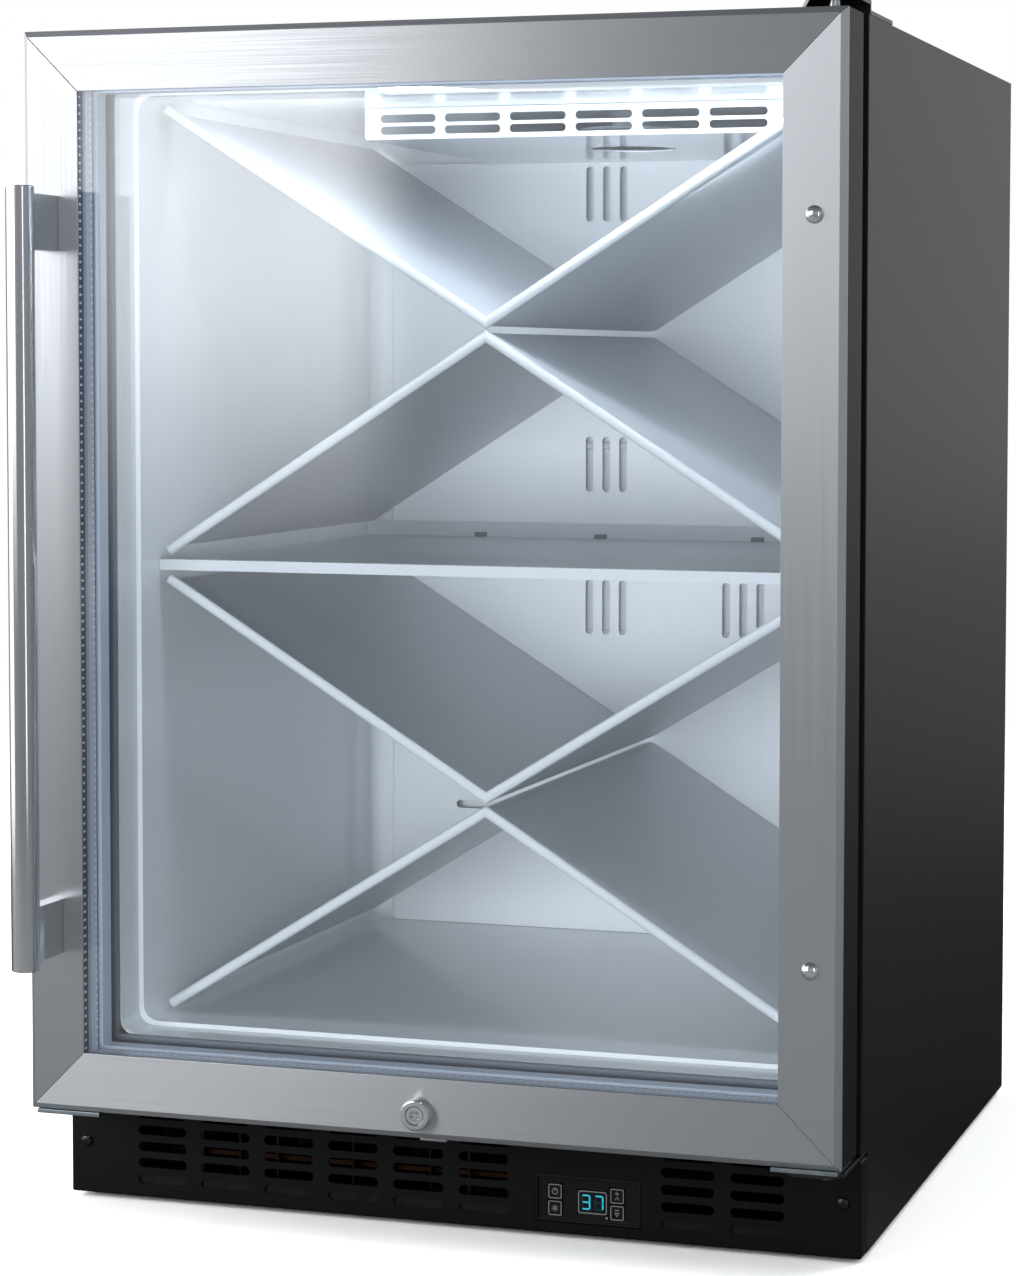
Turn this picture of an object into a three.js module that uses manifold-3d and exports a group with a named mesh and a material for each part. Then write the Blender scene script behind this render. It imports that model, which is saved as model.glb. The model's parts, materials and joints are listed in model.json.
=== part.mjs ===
// Undercounter display refrigerator with one framed glass door.
// Millimetres. X to the right when facing the door, Y to the back, Z up.
// Origin: centre of the footprint, on the floor.

import * as THREE from 'three';
import { mergeVertices } from 'three/addons/utils/BufferGeometryUtils.js';
import Module from 'manifold-3d';

const wasm = await Module();
wasm.setup();

// ---------------------------------------------------------------- driving dimensions

const HALF_WIDTH = 298.5;
const CABINET_BOTTOM = 4;
const CABINET_TOP = 851;
const CABINET_FRONT = -212.5;
const CABINET_BACK = 332.5;
const DOOR_FRONT = -277.5;
const DOOR_BOTTOM = 80.5;
const DOOR_TOP = 850;
const TRIM_WIDTH = 43;
const TRIM_BEVEL = 4.5;
const TRIM_SHEET = 1.2;
const TRIM_RETURN = 6;
const SHEET = 1;
const GAP = 0.3;

const LINER_HALF = 259;
const LINER_WALL = 1.5;
const LINER_FLOOR = 126;
const LINER_CEILING = 812;
const LINER_BACK = 300;
const LINER_FRONT = -204;
const LINER_STEP = 3;
const LINER_STEP_BACK = -172;
const DECK_TOP = 97.2;
const KICK_TOP = 72;
const FRAME_BOTTOM = 75.8;

const SHELF_TOP = 466;
const RACK_FRONT = -137;
const RACK_BACK = 283.5;
const RACK_SHEET = 1.5;
const RACK_HALF = 254;
const BEAD = 8;
const DUCT_FRONT = 284;
const DUCT_HALF = 237;
const CEILING_DUCT = { left: -140, right: 205, front: -20, bottom: 789 };

const HINGE = { x: 283, y: -250, pin: 4 };
const HANDLE = { x: -277, y: -322.5, r: 10, bottom: 190, top: 739, spacing: 500, middle: 464.5 };
const PLUG = { x: 277, top: 714.5, bottom: 214.5 };
const LOCK = { x: 0, z: 99 };
const SLOT = { length: 38.5, height: 7 };
const SLOT_COLUMNS = [-225, -175, -125, -75, -25, 25, 175, 225];
const SLOT_ROWS = [17.5, 29.6, 41.7, 53.8, 65.9];
const PANEL = { left: 62.6, right: 141, bottom: 12, top: 46 };
const KEYS = {
  power_key: [77.5, 33.7],
  light_key: [77.5, 21.7],
  up_key: [123.3, 33.7],
  down_key: [123.3, 21.7],
};
const KEY = { width: 10.4, height: 10.8 };
const WINDOW = { x: 105.2, z: 27.7, width: 21.4, height: 16.4 };
const FOOT_POSITIONS = {
  front_left_foot: [-262, -178],
  front_right_foot: [262, -178],
  rear_left_foot: [-262, 296],
  rear_right_foot: [262, 296],
};
const FAN = { x: -105, z: 53, r: 33 };
const WHEEL = { x: 30, y: 130, r: 42 };
const INLET = { x: -240, z: 53 };

// ---------------------------------------------------------------- shape helpers

function solid(geometry) {
  const bare = geometry.index ? geometry.toNonIndexed() : geometry.clone();
  bare.deleteAttribute('normal');
  bare.deleteAttribute('uv');
  const merged = mergeVertices(bare, 1e-4);
  return new wasm.Manifold(new wasm.Mesh({
    numProp: 3,
    vertProperties: new Float32Array(merged.attributes.position.array),
    triVerts: new Uint32Array(merged.index.array),
  }));
}

function geometryOf(manifold) {
  const mesh = manifold.getMesh();
  const geometry = new THREE.BufferGeometry();
  const positions = new Float32Array((mesh.vertProperties.length / mesh.numProp) * 3);
  for (let i = 0; i < positions.length / 3; i += 1) {
    for (let k = 0; k < 3; k += 1) {
      positions[i * 3 + k] = mesh.vertProperties[i * mesh.numProp + k];
    }
  }
  geometry.setAttribute('position', new THREE.BufferAttribute(positions, 3));
  geometry.setIndex(new THREE.BufferAttribute(new Uint32Array(mesh.triVerts), 1));
  geometry.computeVertexNormals();
  return geometry;
}

function cut(base, ...tools) {
  return geometryOf(tools.reduce((body, tool) => body.subtract(solid(tool)), solid(base)));
}

function join(first, ...others) {
  return geometryOf(others.reduce((body, other) => body.add(solid(other)), solid(first)));
}

function common(first, second) {
  return geometryOf(solid(first).intersect(solid(second)));
}

function box(x0, x1, y0, y1, z0, z1) {
  const geometry = new THREE.BoxGeometry(x1 - x0, y1 - y0, z1 - z0);
  return geometry.translate((x0 + x1) / 2, (y0 + y1) / 2, (z0 + z1) / 2);
}

function outline(points) {
  return new THREE.Shape(points.map(([u, v]) => new THREE.Vector2(u, v)));
}

// An outline in X and Z, extruded from y0 to y1.
function alongY(shape, y0, y1, options = {}) {
  const geometry = new THREE.ExtrudeGeometry(shape, {
    depth: y1 - y0, bevelEnabled: false, curveSegments: 6, ...options,
  });
  return geometry.rotateX(Math.PI / 2).translate(0, y1, 0);
}

// An outline in Y and Z, extruded from x0 to x1.
function alongX(shape, x0, x1) {
  const geometry = new THREE.ExtrudeGeometry(shape, { depth: x1 - x0, bevelEnabled: false });
  const turn = new THREE.Matrix4().makeBasis(
    new THREE.Vector3(0, 1, 0), new THREE.Vector3(0, 0, 1), new THREE.Vector3(1, 0, 0));
  return geometry.applyMatrix4(turn).translate(x0, 0, 0);
}

// An outline in X and Y, extruded from z0 to z1.
function alongZ(shape, z0, z1) {
  return new THREE.ExtrudeGeometry(shape, { depth: z1 - z0, bevelEnabled: false }).translate(0, 0, z0);
}

function rodX(x0, x1, y, z, r, sides = 16) {
  const geometry = new THREE.CylinderGeometry(r, r, x1 - x0, sides);
  return geometry.rotateZ(Math.PI / 2).translate((x0 + x1) / 2, y, z);
}

function rodY(x, y0, y1, z, r, sides = 20) {
  return new THREE.CylinderGeometry(r, r, y1 - y0, sides).translate(x, (y0 + y1) / 2, z);
}

function rodZ(x, y, z0, z1, r, sides = 20) {
  const geometry = new THREE.CylinderGeometry(r, r, z1 - z0, sides).rotateX(Math.PI / 2);
  return geometry.translate(x, y, (z0 + z1) / 2);
}

// A round-ended slot, or a rounded rectangle when r is less than half its height.
function roundedOutline(x, z, width, height, r) {
  const shape = new THREE.Shape();
  const left = x - width / 2;
  const right = x + width / 2;
  const low = z - height / 2;
  const high = z + height / 2;
  shape.moveTo(left + r, low);
  shape.lineTo(right - r, low);
  shape.absarc(right - r, low + r, r, -Math.PI / 2, 0);
  shape.absarc(right - r, high - r, r, 0, Math.PI / 2);
  shape.absarc(left + r, high - r, r, Math.PI / 2, Math.PI);
  shape.absarc(left + r, low + r, r, Math.PI, Math.PI * 1.5);
  return shape;
}

function slotCutter(x, z, width, height, y0, y1) {
  const r = Math.min(width, height) / 2 - 0.01;
  return alongY(roundedOutline(x, z, width, height, r), y0, y1, { curveSegments: 1 });
}

// A frame in the door plane: a rectangle with a rectangular opening.
function ring(outer, inner, y0, y1) {
  const body = box(-outer.half, outer.half, y0, y1, outer.low, outer.high);
  return cut(body, box(-inner.half, inner.half, y0 - 1, y1 + 1, inner.low, inner.high));
}

const MATERIALS = {
  stainless: { color: 0xaeb3b8, roughness: 0.3, metalness: 1 },
  polished: { color: 0xc9ccd0, roughness: 0.12, metalness: 1 },
  zinc: { color: 0x8fa0a8, roughness: 0.4, metalness: 1 },
  black_steel: { color: 0x24282b, roughness: 0.45, metalness: 0.2 },
  black_plastic: { color: 0x1d2023, roughness: 0.5, metalness: 0 },
  white_steel: { color: 0xdfe6ee, roughness: 0.35, metalness: 0 },
  white_plastic: { color: 0xdce3ea, roughness: 0.35, metalness: 0 },
  grey_plastic: { color: 0x9aa6b4, roughness: 0.5, metalness: 0 },
  foam: { color: 0xe6d7a8, roughness: 0.9, metalness: 0 },
  glass: { color: 0xdde8ee, roughness: 0.03, metalness: 0, transparent: true, opacity: 0.35 },
  rubber: { color: 0x2a2d30, roughness: 0.8, metalness: 0 },
  galvanised: { color: 0xa9adb0, roughness: 0.5, metalness: 1 },
  copper: { color: 0xb87348, roughness: 0.35, metalness: 1 },
  aluminium: { color: 0xc3c7ca, roughness: 0.4, metalness: 1 },
  lens: { color: 0xffffff, roughness: 0.3, metalness: 0 },
  display: { color: 0x0b1a20, roughness: 0.1, metalness: 0 },
};

const cabinet = new THREE.Group();
const door = new THREE.Group();

function piece(group, name, geometry, material) {
  const mesh = new THREE.Mesh(geometry, new THREE.MeshStandardMaterial(MATERIALS[material]));
  mesh.name = name;
  group.add(mesh);
  return mesh;
}

// ---------------------------------------------------------------- cabinet shell

// Folded steel wrapper: two sides and the top, with a return flange round the front.
function cabinetWrapper() {
  const flange = 16;
  const kickReturn = 18;
  const inside = HALF_WIDTH - SHEET;
  const block = box(-HALF_WIDTH, HALF_WIDTH, CABINET_FRONT, CABINET_BACK, CABINET_BOTTOM, CABINET_TOP);
  const hollow = box(-inside, inside, CABINET_FRONT + SHEET, CABINET_BACK + 5, -10, CABINET_TOP - SHEET);
  const mouth = box(flange - HALF_WIDTH, HALF_WIDTH - flange,
    CABINET_FRONT - 5, CABINET_FRONT + 5, -10, CABINET_TOP - flange);
  const kickSpace = box(-HALF_WIDTH - 5, HALF_WIDTH + 5,
    CABINET_FRONT - 5, CABINET_FRONT + kickReturn, -10, FRAME_BOTTOM);
  return cut(block, hollow, mouth, kickSpace);
}
piece(cabinet, 'cabinet_wrapper', cabinetWrapper(), 'black_steel');

const INSIDE = HALF_WIDTH - SHEET - GAP;

function rearPanel() {
  const vents = [];
  for (let column = -3; column <= 3; column += 1) {
    for (let row = 0; row < 3; row += 1) {
      vents.push(slotCutter(column * 66, 30 + row * 20, 48, 8, CABINET_BACK - 10, CABINET_BACK + 5));
    }
  }
  const panel = box(-INSIDE, INSIDE, CABINET_BACK - SHEET, CABINET_BACK, 12, CABINET_TOP - SHEET - GAP);
  const inletHole = rodY(INLET.x, CABINET_BACK - 10, CABINET_BACK + 5, INLET.z, 11.3);
  return cut(panel, inletHole, ...vents);
}
piece(cabinet, 'rear_panel', rearPanel(), 'galvanised');

// Vacuum-formed tub with a small step just inside its mouth.
function tub(grow, front) {
  const step = LINER_STEP + grow;
  const deep = box(-LINER_HALF - grow, LINER_HALF + grow, LINER_STEP_BACK - 5, LINER_BACK + grow,
    LINER_FLOOR - grow, LINER_CEILING + grow);
  const wide = box(-LINER_HALF - step, LINER_HALF + step, front, LINER_STEP_BACK + grow,
    LINER_FLOOR - step, LINER_CEILING + step);
  return join(deep, wide);
}
piece(cabinet, 'inner_liner',
  cut(tub(LINER_WALL, LINER_FRONT), tub(0, LINER_FRONT - 10)), 'white_plastic');

function insulationFoam() {
  const block = box(-INSIDE, INSIDE, LINER_FRONT + GAP, CABINET_BACK - SHEET - GAP,
    DECK_TOP + GAP, CABINET_TOP - SHEET - GAP);
  return cut(block, tub(LINER_WALL + GAP, LINER_FRONT - 10));
}
piece(cabinet, 'insulation_foam', insulationFoam(), 'foam');

const MOUTH = {
  half: LINER_HALF + LINER_STEP,
  low: LINER_FLOOR - LINER_STEP,
  high: LINER_CEILING + LINER_STEP,
};
piece(cabinet, 'front_breaker_frame', ring(
  { half: INSIDE, low: FRAME_BOTTOM, high: CABINET_TOP - SHEET - GAP }, MOUTH,
  CABINET_FRONT + SHEET + GAP, LINER_FRONT - GAP), 'black_plastic');

piece(cabinet, 'machine_deck', box(-INSIDE, INSIDE, LINER_FRONT + GAP,
  CABINET_BACK - SHEET - GAP, DECK_TOP - 1.2, DECK_TOP), 'galvanised');

function basePan() {
  const floor = 10;
  const front = CABINET_FRONT + SHEET + GAP;
  const back = CABINET_BACK - SHEET - GAP;
  const block = box(-INSIDE, INSIDE, front, back, floor, floor + 16);
  const hollow = box(-INSIDE + 1.5, INSIDE - 1.5, front + 1.5, back - 1.5, floor + 1.5, floor + 30);
  const holes = Object.values(FOOT_POSITIONS).map(([x, y]) => rodZ(x, y, 0, 20, 5.3, 16));
  const panelGap = box(PANEL.left - 1, PANEL.right + 1, front - 1, front + 3, floor + 1.5, 40);
  return cut(block, hollow, panelGap, ...holes);
}
piece(cabinet, 'base_pan', basePan(), 'galvanised');

// Louvred grille across the front of the machine compartment, wrapped round both sides.
function kickPlate() {
  const wrap = 17.5;
  const block = box(-HALF_WIDTH, HALF_WIDTH, CABINET_FRONT, CABINET_FRONT + wrap, CABINET_BOTTOM, KICK_TOP);
  const hollow = box(SHEET - HALF_WIDTH, HALF_WIDTH - SHEET, CABINET_FRONT + SHEET,
    CABINET_FRONT + wrap + 5, -10, CABINET_TOP);
  const louvres = [];
  for (const x of SLOT_COLUMNS) {
    for (const z of SLOT_ROWS) {
      louvres.push(slotCutter(x, z, SLOT.length, SLOT.height, CABINET_FRONT - 3, CABINET_FRONT + 3));
    }
  }
  const window = box(PANEL.left, PANEL.right, CABINET_FRONT - 3, CABINET_FRONT + 3,
    PANEL.bottom, PANEL.top);
  const holes = [-286, 286].map((x) => rodY(x, CABINET_FRONT - 3, CABINET_FRONT + 3, 42.5, 2.4, 12));
  return cut(block, hollow, window, ...holes, ...louvres);
}
piece(cabinet, 'kick_plate', kickPlate(), 'black_steel');

// ---------------------------------------------------------------- controls

const PANEL_MIDDLE = [(PANEL.left + PANEL.right) / 2, (PANEL.bottom + PANEL.top) / 2];
const FACE_RECESS = 2;
const KEY_POCKET = 6;

function controlHousing() {
  const width = PANEL.right - PANEL.left - 2 * GAP;
  const height = PANEL.top - PANEL.bottom - 2 * GAP;
  const [x, z] = PANEL_MIDDLE;
  const face = CABINET_FRONT + FACE_RECESS;
  const body = box(x - width / 2, x + width / 2, CABINET_FRONT, CABINET_FRONT + 22,
    z - height / 2, z + height / 2);
  const recess = box(x - width / 2 + 2, x + width / 2 - 2, CABINET_FRONT - 5, face,
    z - height / 2 + 2, z + height / 2 - 2);
  const pockets = Object.values(KEYS).map(([keyX, keyZ]) => box(
    keyX - KEY.width / 2 - GAP, keyX + KEY.width / 2 + GAP, face - 5, face + KEY_POCKET,
    keyZ - KEY.height / 2 - GAP, keyZ + KEY.height / 2 + GAP));
  const glassPocket = box(
    WINDOW.x - WINDOW.width / 2 - GAP, WINDOW.x + WINDOW.width / 2 + GAP, face - 5, face + 4,
    WINDOW.z - WINDOW.height / 2 - GAP, WINDOW.z + WINDOW.height / 2 + GAP);
  return cut(body, recess, glassPocket, ...pockets);
}
piece(cabinet, 'control_housing', controlHousing(), 'black_plastic');

piece(cabinet, 'display_window', alongY(
  roundedOutline(WINDOW.x, WINDOW.z, WINDOW.width, WINDOW.height, 1.2),
  CABINET_FRONT + FACE_RECESS - 0.4, CABINET_FRONT + FACE_RECESS + 3.7, { curveSegments: 2 }), 'display');

const keyShape = alongY(
  roundedOutline(0, 0, KEY.width, KEY.height, 1), 0, 5.7, { curveSegments: 2 });
for (const [name, [x, z]] of Object.entries(KEYS)) {
  const key = piece(cabinet, name, keyShape, 'black_plastic');
  key.position.set(x, CABINET_FRONT + FACE_RECESS - 0.6, z);
}

// ---------------------------------------------------------------- hinges and lock keeper

function lowerHingeBracket() {
  const low = KICK_TOP + 0.4;
  const leaf = outline([[254, -190], [297.2, -190], [297.2, -258], [290, -266], [262, -266], [254, -258]]);
  return cut(alongZ(leaf, low, low + 3), rodZ(HINGE.x, HINGE.y, 60, 90, HINGE.pin + GAP));
}
piece(cabinet, 'lower_hinge_bracket', lowerHingeBracket(), 'black_steel');

function lowerHingePin() {
  const low = KICK_TOP + 0.4;
  const head = rodZ(HINGE.x, HINGE.y, low - 2.8, low - GAP, 6.5);
  return join(head, rodZ(HINGE.x, HINGE.y, low - 1, 94, HINGE.pin));
}
piece(cabinet, 'lower_hinge_pin', lowerHingePin(), 'zinc');

const UPPER_SCREWS = [[287, -192], [287, -146], [271, -178]];

// Dished plate: screwed flat to the cabinet top, raised over the door.
function upperHingePlate() {
  const base = CABINET_TOP + GAP;
  const canopy = alongY(outline([
    [262, base], [265, base], [273, 858], [297.8, 858], [297.8, 861], [271.5, 861], [262, 853.5],
  ]), -268, -203);
  const riser = box(262, 297.8, -206, -203, base, 861);
  const foot = box(262, 297.8, -206, -135, base, base + 3);
  const corner = alongZ(outline([[255, -130], [255, -160], [280, -130]]), 840, 870);
  const nose = alongZ(outline([[255, -240], [255, -275], [276, -275]]), 840, 870);
  const hole = rodZ(HINGE.x, HINGE.y, 840, 870, HINGE.pin + GAP);
  const screws = UPPER_SCREWS.map(([x, y]) => rodZ(x, y, 840, 870, 2.6, 12));
  return cut(join(canopy, riser, foot), corner, nose, hole, ...screws);
}

piece(cabinet, 'upper_hinge_plate', upperHingePlate(), 'black_steel');

function upperHingePin() {
  const collar = rodZ(HINGE.x, HINGE.y, DOOR_TOP + GAP, DOOR_TOP + 2, 6.5);
  const head = rodZ(HINGE.x, HINGE.y, 861 + GAP, 863.5, 6.5);
  return join(rodZ(HINGE.x, HINGE.y, 836, 862, HINGE.pin), collar, head);
}
piece(cabinet, 'upper_hinge_pin', upperHingePin(), 'polished');

// Keeper that the lock's cam drops behind, fixed to the bottom of the breaker frame.
function lockStrike() {
  return alongX(outline([
    [-205, 72.4], [-205, 74], [-246.5, 74], [-246.5, 78.6], [-248.5, 78.6], [-248.5, 72.4],
  ]), -10, 10);
}
piece(cabinet, 'lock_strike', lockStrike(), 'zinc');

// ---------------------------------------------------------------- food compartment

function ductPanel() {
  const top = CEILING_DUCT.bottom - GAP;
  const sheet = 1.2;
  const low = LINER_FLOOR + GAP;
  const block = box(-DUCT_HALF, DUCT_HALF, DUCT_FRONT, LINER_BACK - GAP, low, top);
  const hollow = box(sheet - DUCT_HALF, DUCT_HALF - sheet, DUCT_FRONT + sheet, LINER_BACK + 5,
    low - 5, top + 5);
  const slots = [];
  for (const x of [-40, 82]) {
    for (const z of [761, 530, 407]) {
      for (const offset of [-15, 0, 15]) {
        slots.push(slotCutter(x + offset, z, 7, 47, DUCT_FRONT - 3, DUCT_FRONT + 3));
      }
    }
  }
  for (const x of [-153, 153]) {
    slots.push(slotCutter(x, 231, 47, 7, DUCT_FRONT - 3, DUCT_FRONT + 3));
  }
  return cut(block, hollow, ...slots);
}
piece(cabinet, 'duct_panel', ductPanel(), 'white_plastic');

function ceilingDuct() {
  const sheet = 1.2;
  const { left, right, front, bottom } = CEILING_DUCT;
  const top = LINER_CEILING - GAP;
  const block = box(left, right, front, LINER_BACK - GAP, bottom, top);
  const hollow = box(left + sheet, right - sheet, front + sheet, LINER_BACK + 5, bottom + sheet, top + 5);
  const inlet = rodZ(WHEEL.x, WHEEL.y, bottom - 5, bottom + 5, 34, 28);
  const slots = [];
  for (let column = -2; column <= 3; column += 1) {
    for (const z of [794.8, 803.8]) {
      slots.push(slotCutter(column * 52.4, z, 45, 6.4, front - 3, front + 3));
    }
  }
  return cut(block, hollow, inlet, ...slots);
}
piece(cabinet, 'ceiling_duct', ceilingDuct(), 'white_plastic');

piece(cabinet, 'circulation_fan_motor', join(
  rodZ(WHEEL.x, WHEEL.y, 804.2, LINER_CEILING - GAP, 17),
  rodZ(WHEEL.x, WHEEL.y, 792.4, 806, 2, 12)), 'black_plastic');

function circulationFanWheel() {
  const vanes = [];
  for (let i = 0; i < 9; i += 1) {
    const vane = box(15, WHEEL.r - 1, -0.6, 0.6, 793.2, 802);
    vane.rotateZ((i * Math.PI * 2) / 9);
    vanes.push(vane.translate(WHEEL.x, WHEEL.y, 0));
  }
  const disc = rodZ(WHEEL.x, WHEEL.y, 801.5, 803.5, WHEEL.r, 28);
  const hub = rodZ(WHEEL.x, WHEEL.y, 792.8, 802, 7, 14);
  return cut(join(disc, hub, ...vanes), rodZ(WHEEL.x, WHEEL.y, 780, 815, 2.4, 12));
}
piece(cabinet, 'circulation_fan_wheel', circulationFanWheel(), 'black_plastic');

piece(cabinet, 'light_strip', box(-60, 250, -200, -178, 808, LINER_CEILING + LINER_STEP - GAP), 'lens');

function evaporatorPlate() {
  const plate = box(-200, 200, 291, 292.5, 300, 740);
  const runs = [];
  for (let i = 0; i < 8; i += 1) {
    runs.push(rodX(-180, 180, 291.5, 330 + i * 54, 3.5, 8));
  }
  return join(plate, ...runs);
}
piece(cabinet, 'evaporator_plate', evaporatorPlate(), 'aluminium');

function middleShelf() {
  const half = LINER_HALF - GAP;
  const sheet = box(-half, half, RACK_FRONT, RACK_BACK, SHELF_TOP - RACK_SHEET, SHELF_TOP);
  const bead = box(-half, half, RACK_FRONT - BEAD / 2, RACK_FRONT + BEAD / 2,
    SHELF_TOP - BEAD / 2 - 0.7, SHELF_TOP + BEAD / 2 - 0.7);
  const upstand = box(-half, half, RACK_BACK - RACK_SHEET, RACK_BACK, SHELF_TOP - RACK_SHEET, SHELF_TOP + 13);
  return join(sheet, bead, upstand);
}
piece(cabinet, 'middle_shelf', middleShelf(), 'white_steel');

// One folded sheet of a bottle rack: its fold is at the rack's centre line, its ends are at the
// walls, and its front edge is rolled into a bead on the side away from the other sheet.
function rackSheet(foldZ, endZ) {
  const side = Math.sign(endZ - foldZ);
  const fold = foldZ + side * GAP;
  const stretch = Math.hypot(1, (Math.abs(endZ - fold) - BEAD) / RACK_HALF);
  const end = endZ - side * BEAD * stretch;
  const band = (thickness) => {
    const rise = side * thickness * stretch;
    return outline([
      [-RACK_HALF, end], [0, fold], [RACK_HALF, end],
      [RACK_HALF, end + rise], [0, fold + rise], [-RACK_HALF, end + rise],
    ]);
  };
  const sheet = alongY(band(RACK_SHEET), RACK_FRONT, RACK_BACK - RACK_SHEET - GAP);
  const bead = alongY(band(BEAD), RACK_FRONT - BEAD / 2, RACK_FRONT + BEAD / 2);
  return join(sheet, bead);
}
const UPPER_FOLD = 641;
const LOWER_FOLD = 294.5;
piece(cabinet, 'upper_rack_vee', rackSheet(UPPER_FOLD, LINER_CEILING - 1), 'white_steel');
piece(cabinet, 'upper_rack_peak', rackSheet(UPPER_FOLD, SHELF_TOP + 4), 'white_steel');
piece(cabinet, 'lower_rack_vee', rackSheet(LOWER_FOLD, SHELF_TOP - BEAD / 2 - 1.3), 'white_steel');
piece(cabinet, 'lower_rack_peak', rackSheet(LOWER_FOLD, LINER_FLOOR + 0.6), 'white_steel');

// ---------------------------------------------------------------- machine compartment

function compressor() {
  const y = 235;
  const z = 57;
  const shell = rodX(70, 210, y, z, 34, 24);
  const ends = [70, 210].map((x) => {
    const dome = new THREE.SphereGeometry(34, 24, 12).scale(0.35, 1, 1);
    return dome.translate(x, y, z);
  });
  const saddles = [90, 190].map((x) => box(x - 8, x + 8, y - 42, y + 42, 18.4, 36));
  return join(shell, ...ends, ...saddles);
}
piece(cabinet, 'compressor', compressor(), 'black_steel');

function condenserCoil() {
  const tubes = [];
  for (const y of [-166, -150]) {
    for (const z of [30, 54, 78]) {
      tubes.push(rodX(-245, 35, y, z, 3.2, 6));
    }
  }
  const fins = [];
  for (let i = 0; i < 10; i += 1) {
    const x = -240 + i * 30;
    fins.push(box(x, x + 1.2, -176, -140, 16, 92));
  }
  return join(fins[0], ...fins.slice(1), ...tubes);
}
piece(cabinet, 'condenser_coil', condenserCoil(), 'copper');

function fanShroud() {
  const plate = box(FAN.x - 60, FAN.x + 60, -130, -126, 12, 94);
  return cut(plate, rodY(FAN.x, -140, -120, FAN.z, FAN.r + 3, 28));
}
piece(cabinet, 'condenser_fan_shroud', fanShroud(), 'black_plastic');

function fanMotor() {
  const body = rodY(FAN.x, -108, -78, FAN.z, 16);
  const shaft = rodY(FAN.x, -124, -100, FAN.z, 2, 12);
  const arms = box(FAN.x - 50, FAN.x + 50, -107.5, -104, FAN.z - 4, FAN.z + 4);
  const stays = [-50, 46].map((offset) => box(
    FAN.x + offset, FAN.x + offset + 4, -125.7, -104, FAN.z - 4, FAN.z + 4));
  return join(body, shaft, arms, ...stays);
}
piece(cabinet, 'condenser_fan_motor', fanMotor(), 'black_plastic');

function fanBlade() {
  const hub = rodY(FAN.x, -127, -112, FAN.z, 9, 16);
  const blades = [];
  for (let i = 0; i < 5; i += 1) {
    const blade = box(6, FAN.r - 1, -0.7, 0.7, -8, 8).rotateX(0.75);
    blade.rotateY((i * Math.PI * 2) / 5);
    blades.push(blade.translate(FAN.x, -119.5, FAN.z));
  }
  return cut(join(hub, ...blades), rodY(FAN.x, -125, -100, FAN.z, 2.4, 12));
}
piece(cabinet, 'condenser_fan_blade', fanBlade(), 'black_plastic');

function drainTray() {
  const tray = box(-200, 20, 180, 300, 11.8, 34);
  return cut(tray, box(-198, 18, 182, 298, 13.8, 40));
}
piece(cabinet, 'drain_tray', drainTray(), 'black_plastic');

// Inlet where the mains lead goes into the machine compartment.
function powerInlet() {
  const { x, z } = INLET;
  const barrel = rodY(x, CABINET_BACK - 14, CABINET_BACK, z, 11);
  const flange = rodY(x, CABINET_BACK - 15, CABINET_BACK - SHEET - 0.4, z, 14);
  return cut(join(barrel, flange), rodY(x, CABINET_BACK - 8, CABINET_BACK + 5, z, 4, 14));
}
piece(cabinet, 'power_inlet', powerInlet(), 'black_plastic');

const footShape = new THREE.LatheGeometry([
  [0, 0], [17, 0], [18, 1.5], [18, 5], [15, 7.5], [5, 8], [5, 38], [4, 39], [0, 39],
].map(([r, z]) => new THREE.Vector2(r, z)), 16).rotateX(Math.PI / 2);
for (const [name, [x, y]] of Object.entries(FOOT_POSITIONS)) {
  const foot = piece(cabinet, name, footShape, 'rubber');
  foot.position.set(x, y, 0);
}

// ---------------------------------------------------------------- door

// A block the size of the door's face with its front edges bevelled, cut off behind.
function bevelledBlock(inset, bevel, front) {
  const shape = outline([
    [-HALF_WIDTH + inset + bevel, DOOR_BOTTOM + inset + bevel],
    [HALF_WIDTH - inset - bevel, DOOR_BOTTOM + inset + bevel],
    [HALF_WIDTH - inset - bevel, DOOR_TOP - inset - bevel],
    [-HALF_WIDTH + inset + bevel, DOOR_TOP - inset - bevel],
  ]);
  const geometry = new THREE.ExtrudeGeometry(shape, {
    depth: 30, bevelEnabled: true, bevelThickness: bevel, bevelSize: bevel, bevelSegments: 1,
  });
  return geometry.rotateX(Math.PI / 2).translate(0, front + 30 + bevel, 0);
}

const OPENING = { half: HALF_WIDTH - TRIM_WIDTH, low: DOOR_BOTTOM + TRIM_WIDTH, high: DOOR_TOP - TRIM_WIDTH };

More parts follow.
